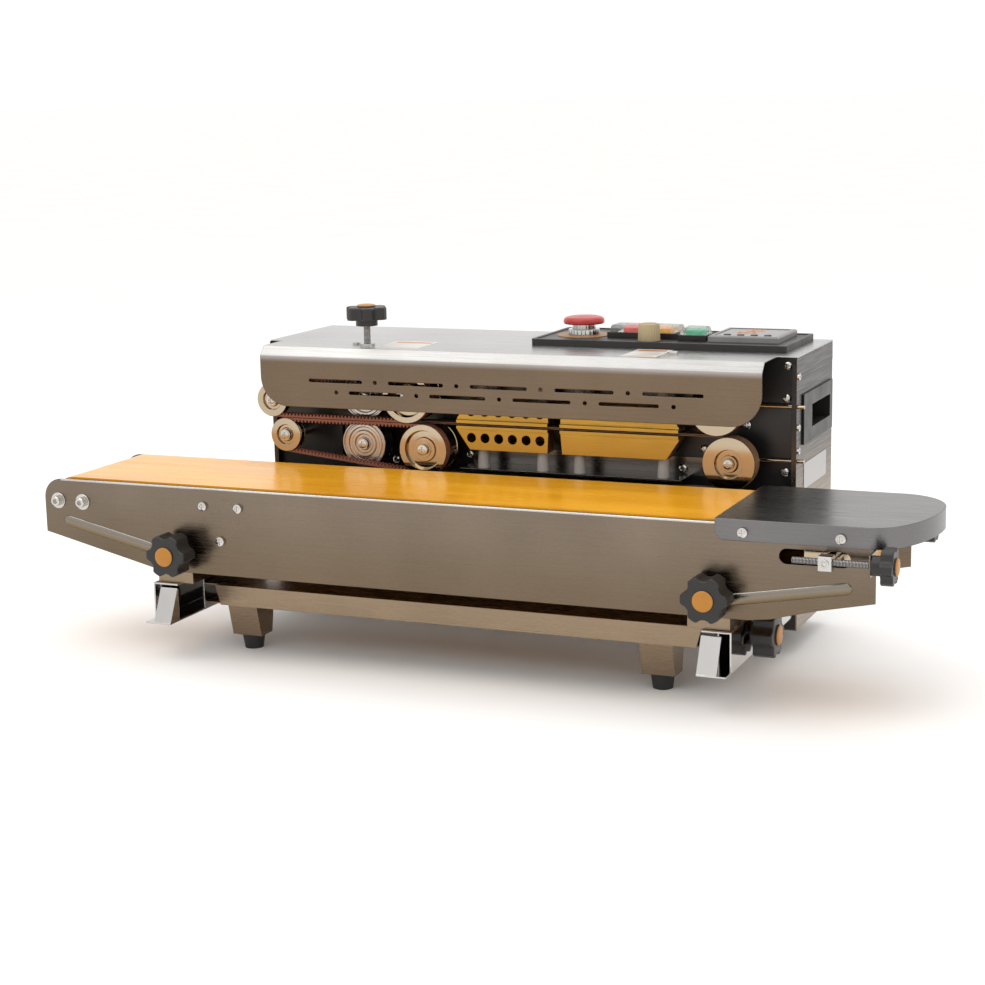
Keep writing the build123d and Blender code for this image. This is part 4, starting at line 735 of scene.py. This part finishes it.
WINDOW_Z = (310.5, 311.0)
face = bmesh.new()
plate(face, level_rectangle(635, 696, 264, 325, WINDOW_Z[0]), WINDOW_Z[1] - WINDOW_Z[0], (0, 0, 1))
piece("controller_window", face, DARK_FACE, "machine", smooth=False)

SEGMENTS = {"0": "abcdef", "1": "bc", "2": "abged", "8": "abcdefg"}
DIGIT_WIDTH = 5.0
DIGIT_HEIGHT = 9.0
STROKE = 0.55  # half a stroke's width
STROKE_GAP = 0.7  # from a digit's corner to the end of a stroke


def digit(builder, corner_x, corner_y, value, scale):
    """Seven-segment digit lying on the controller's window."""
    width = DIGIT_WIDTH * scale
    height = DIGIT_HEIGHT * scale
    half = height / 2
    stroke = STROKE * scale
    gap = STROKE_GAP * scale
    spans = {
        "a": ((0, height), (width, height)), "b": ((width, half), (width, height)),
        "c": ((width, 0), (width, half)), "d": ((0, 0), (width, 0)), "e": ((0, 0), (0, half)),
        "f": ((0, half), (0, height)), "g": ((0, half), (width, half)),
    }
    for letter in SEGMENTS[value]:
        (x0, y0), (x1, y1) = spans[letter]
        if y0 == y1:
            box = (x0 + gap, x1 - gap, y0 - stroke, y0 + stroke)
        else:
            box = (x0 - stroke, x0 + stroke, y0 + gap, y1 - gap)
        corners = level_rectangle(corner_x + box[0], corner_x + box[1],
                                  corner_y + box[2], corner_y + box[3], WINDOW_Z[1])
        plate(builder, corners, 0.2, (0, 0, 1))


DIGITS_X = 650.0
DIGIT_PITCH = 8.2
digits = bmesh.new()
for row_y, text, scale in ((304.0, "180", 1.1), (289.0, "200", 0.9)):
    for index, value in enumerate(text):
        digit(digits, DIGITS_X + index * DIGIT_PITCH * scale, row_y, value, scale)
piece("controller_digits", digits, DIGIT, "machine", smooth=False)

KEY_PROFILE = ((0, 0.9), (3.2, 0.9), (3.8, 0.5), (3.8, 0), (0, 0))
keys = bmesh.new()
for x in (645.0, 659.0, 673.0, 687.0):
    turned(keys, at(x, 273.0, 310.9), (0, 0, 1), KEY_PROFILE, 32)
piece("controller_keys", keys, GREY, "machine")

# ---------------------------------------------------------------- blank labels
COVER_TOP = 299.5
LABEL_HEIGHT = 0.12
BAND_INSET = 4  # from a label's side to its coloured bands
labels = bmesh.new()
borders = bmesh.new()
for x0, x1, y0, y1 in ((295, 344, 174, 230), (566, 603, 170, 227)):
    plate(labels, level_rectangle(x0, x1, y0, y1, COVER_TOP), LABEL_HEIGHT, (0, 0, 1))
    for low, high in ((y1 - 14, y1 - 5), (y0 + 5, y0 + 7)):
        corners = level_rectangle(x0 + BAND_INSET, x1 - BAND_INSET, low, high, COVER_TOP + LABEL_HEIGHT)
        plate(borders, corners, 0.03, (0, 0, 1))
piece("blank_labels", labels, LABEL, "machine", smooth=False)
piece("label_bands", borders, LABEL_LINE, "machine", smooth=False)
rating = bmesh.new()
plate(rating, [at(735, 234, 164), at(735, 323, 164), at(735, 323, 190), at(735, 234, 190)], 0.4, (1, 0, 0))
piece("blank_rating_plate", rating, PLATE, "machine", smooth=False)

# ---------------------------------------------------------------- floor, light, camera
sc = bpy.context.scene
floor_mesh = bpy.data.meshes.new("floor")
REACH = 150.0  # half the floor's size, in metres, so that its edge lies near the horizon
floor_mesh.from_pydata([(-REACH, -REACH, 0), (REACH, -REACH, 0), (REACH, REACH, 0), (-REACH, REACH, 0)], [],
                       [(0, 1, 2, 3)])
floor = bpy.data.objects.new("floor", floor_mesh)
sc.collection.objects.link(floor)
paper, paper_nodes, paper_links, paper_shader = shader("pale_floor", (0.93, 0.925, 0.92), 0.0, 0.75)
paper_links.new(ramp(paper_nodes, paper_links, noise(paper_nodes, paper_links, 3.0), (0.92, 0.915, 0.91),
                     (0.94, 0.935, 0.93)), paper_shader.inputs["Base Color"])
floor_mesh.materials.append(paper)

world = bpy.data.worlds.new("studio")
world.use_nodes = True
world.node_tree.nodes["Background"].inputs["Color"].default_value = (1.0, 0.99, 0.975, 1)
world.node_tree.nodes["Background"].inputs["Strength"].default_value = 1.08
sc.world = world


def softbox(name, place, target, size, power, color=(1, 1, 1)):
    """Rectangular soft light aimed at a point."""
    light = bpy.data.lights.new(name, "AREA")
    light.shape = "RECTANGLE"
    light.size, light.size_y = size
    light.energy = power
    light.color = color
    lamp = bpy.data.objects.new(name, light)
    sc.collection.objects.link(lamp)
    lamp.location = place
    lamp.rotation_euler = (Vector(target) - Vector(place)).to_track_quat("-Z", "Y").to_euler()


softbox("key", (-0.6, -1.2, 2.2), (0, 0, 0.15), (2.4, 1.2), 16, (1.0, 0.97, 0.93))
softbox("top", (0.3, 0.4, 2.4), (0, 0, 0.2), (2.4, 1.6), 12)
softbox("side", (2.4, -0.6, 1.0), (0.2, 0, 0.2), (1.0, 1.4), 4, (1.0, 0.98, 0.95))

# the photograph's view, from the front and right, from above
CAMERA_PLACE = at(1230.3, -1685.5, 555.3)
YAW = radians(23.4)
PITCH = radians(11.2)
ROLL = radians(-1.2)
ahead = Vector((-sin(YAW) * cos(PITCH), cos(YAW) * cos(PITCH), -sin(PITCH)))
level_right = Vector((cos(YAW), sin(YAW), 0))
level_up = level_right.cross(ahead)
right = level_right * cos(ROLL) + level_up * sin(ROLL)
up = level_up * cos(ROLL) - level_right * sin(ROLL)
camera_data = bpy.data.cameras.new("camera")
camera_data.lens = 73.73
camera_data.sensor_width = 36.0
camera = bpy.data.objects.new("camera", camera_data)
sc.collection.objects.link(camera)
facing = Matrix((right, up, -ahead)).transposed().to_4x4()
camera.matrix_world = Matrix.Translation(CAMERA_PLACE) @ facing
sc.camera = camera
sc.view_settings.view_transform = "Standard"
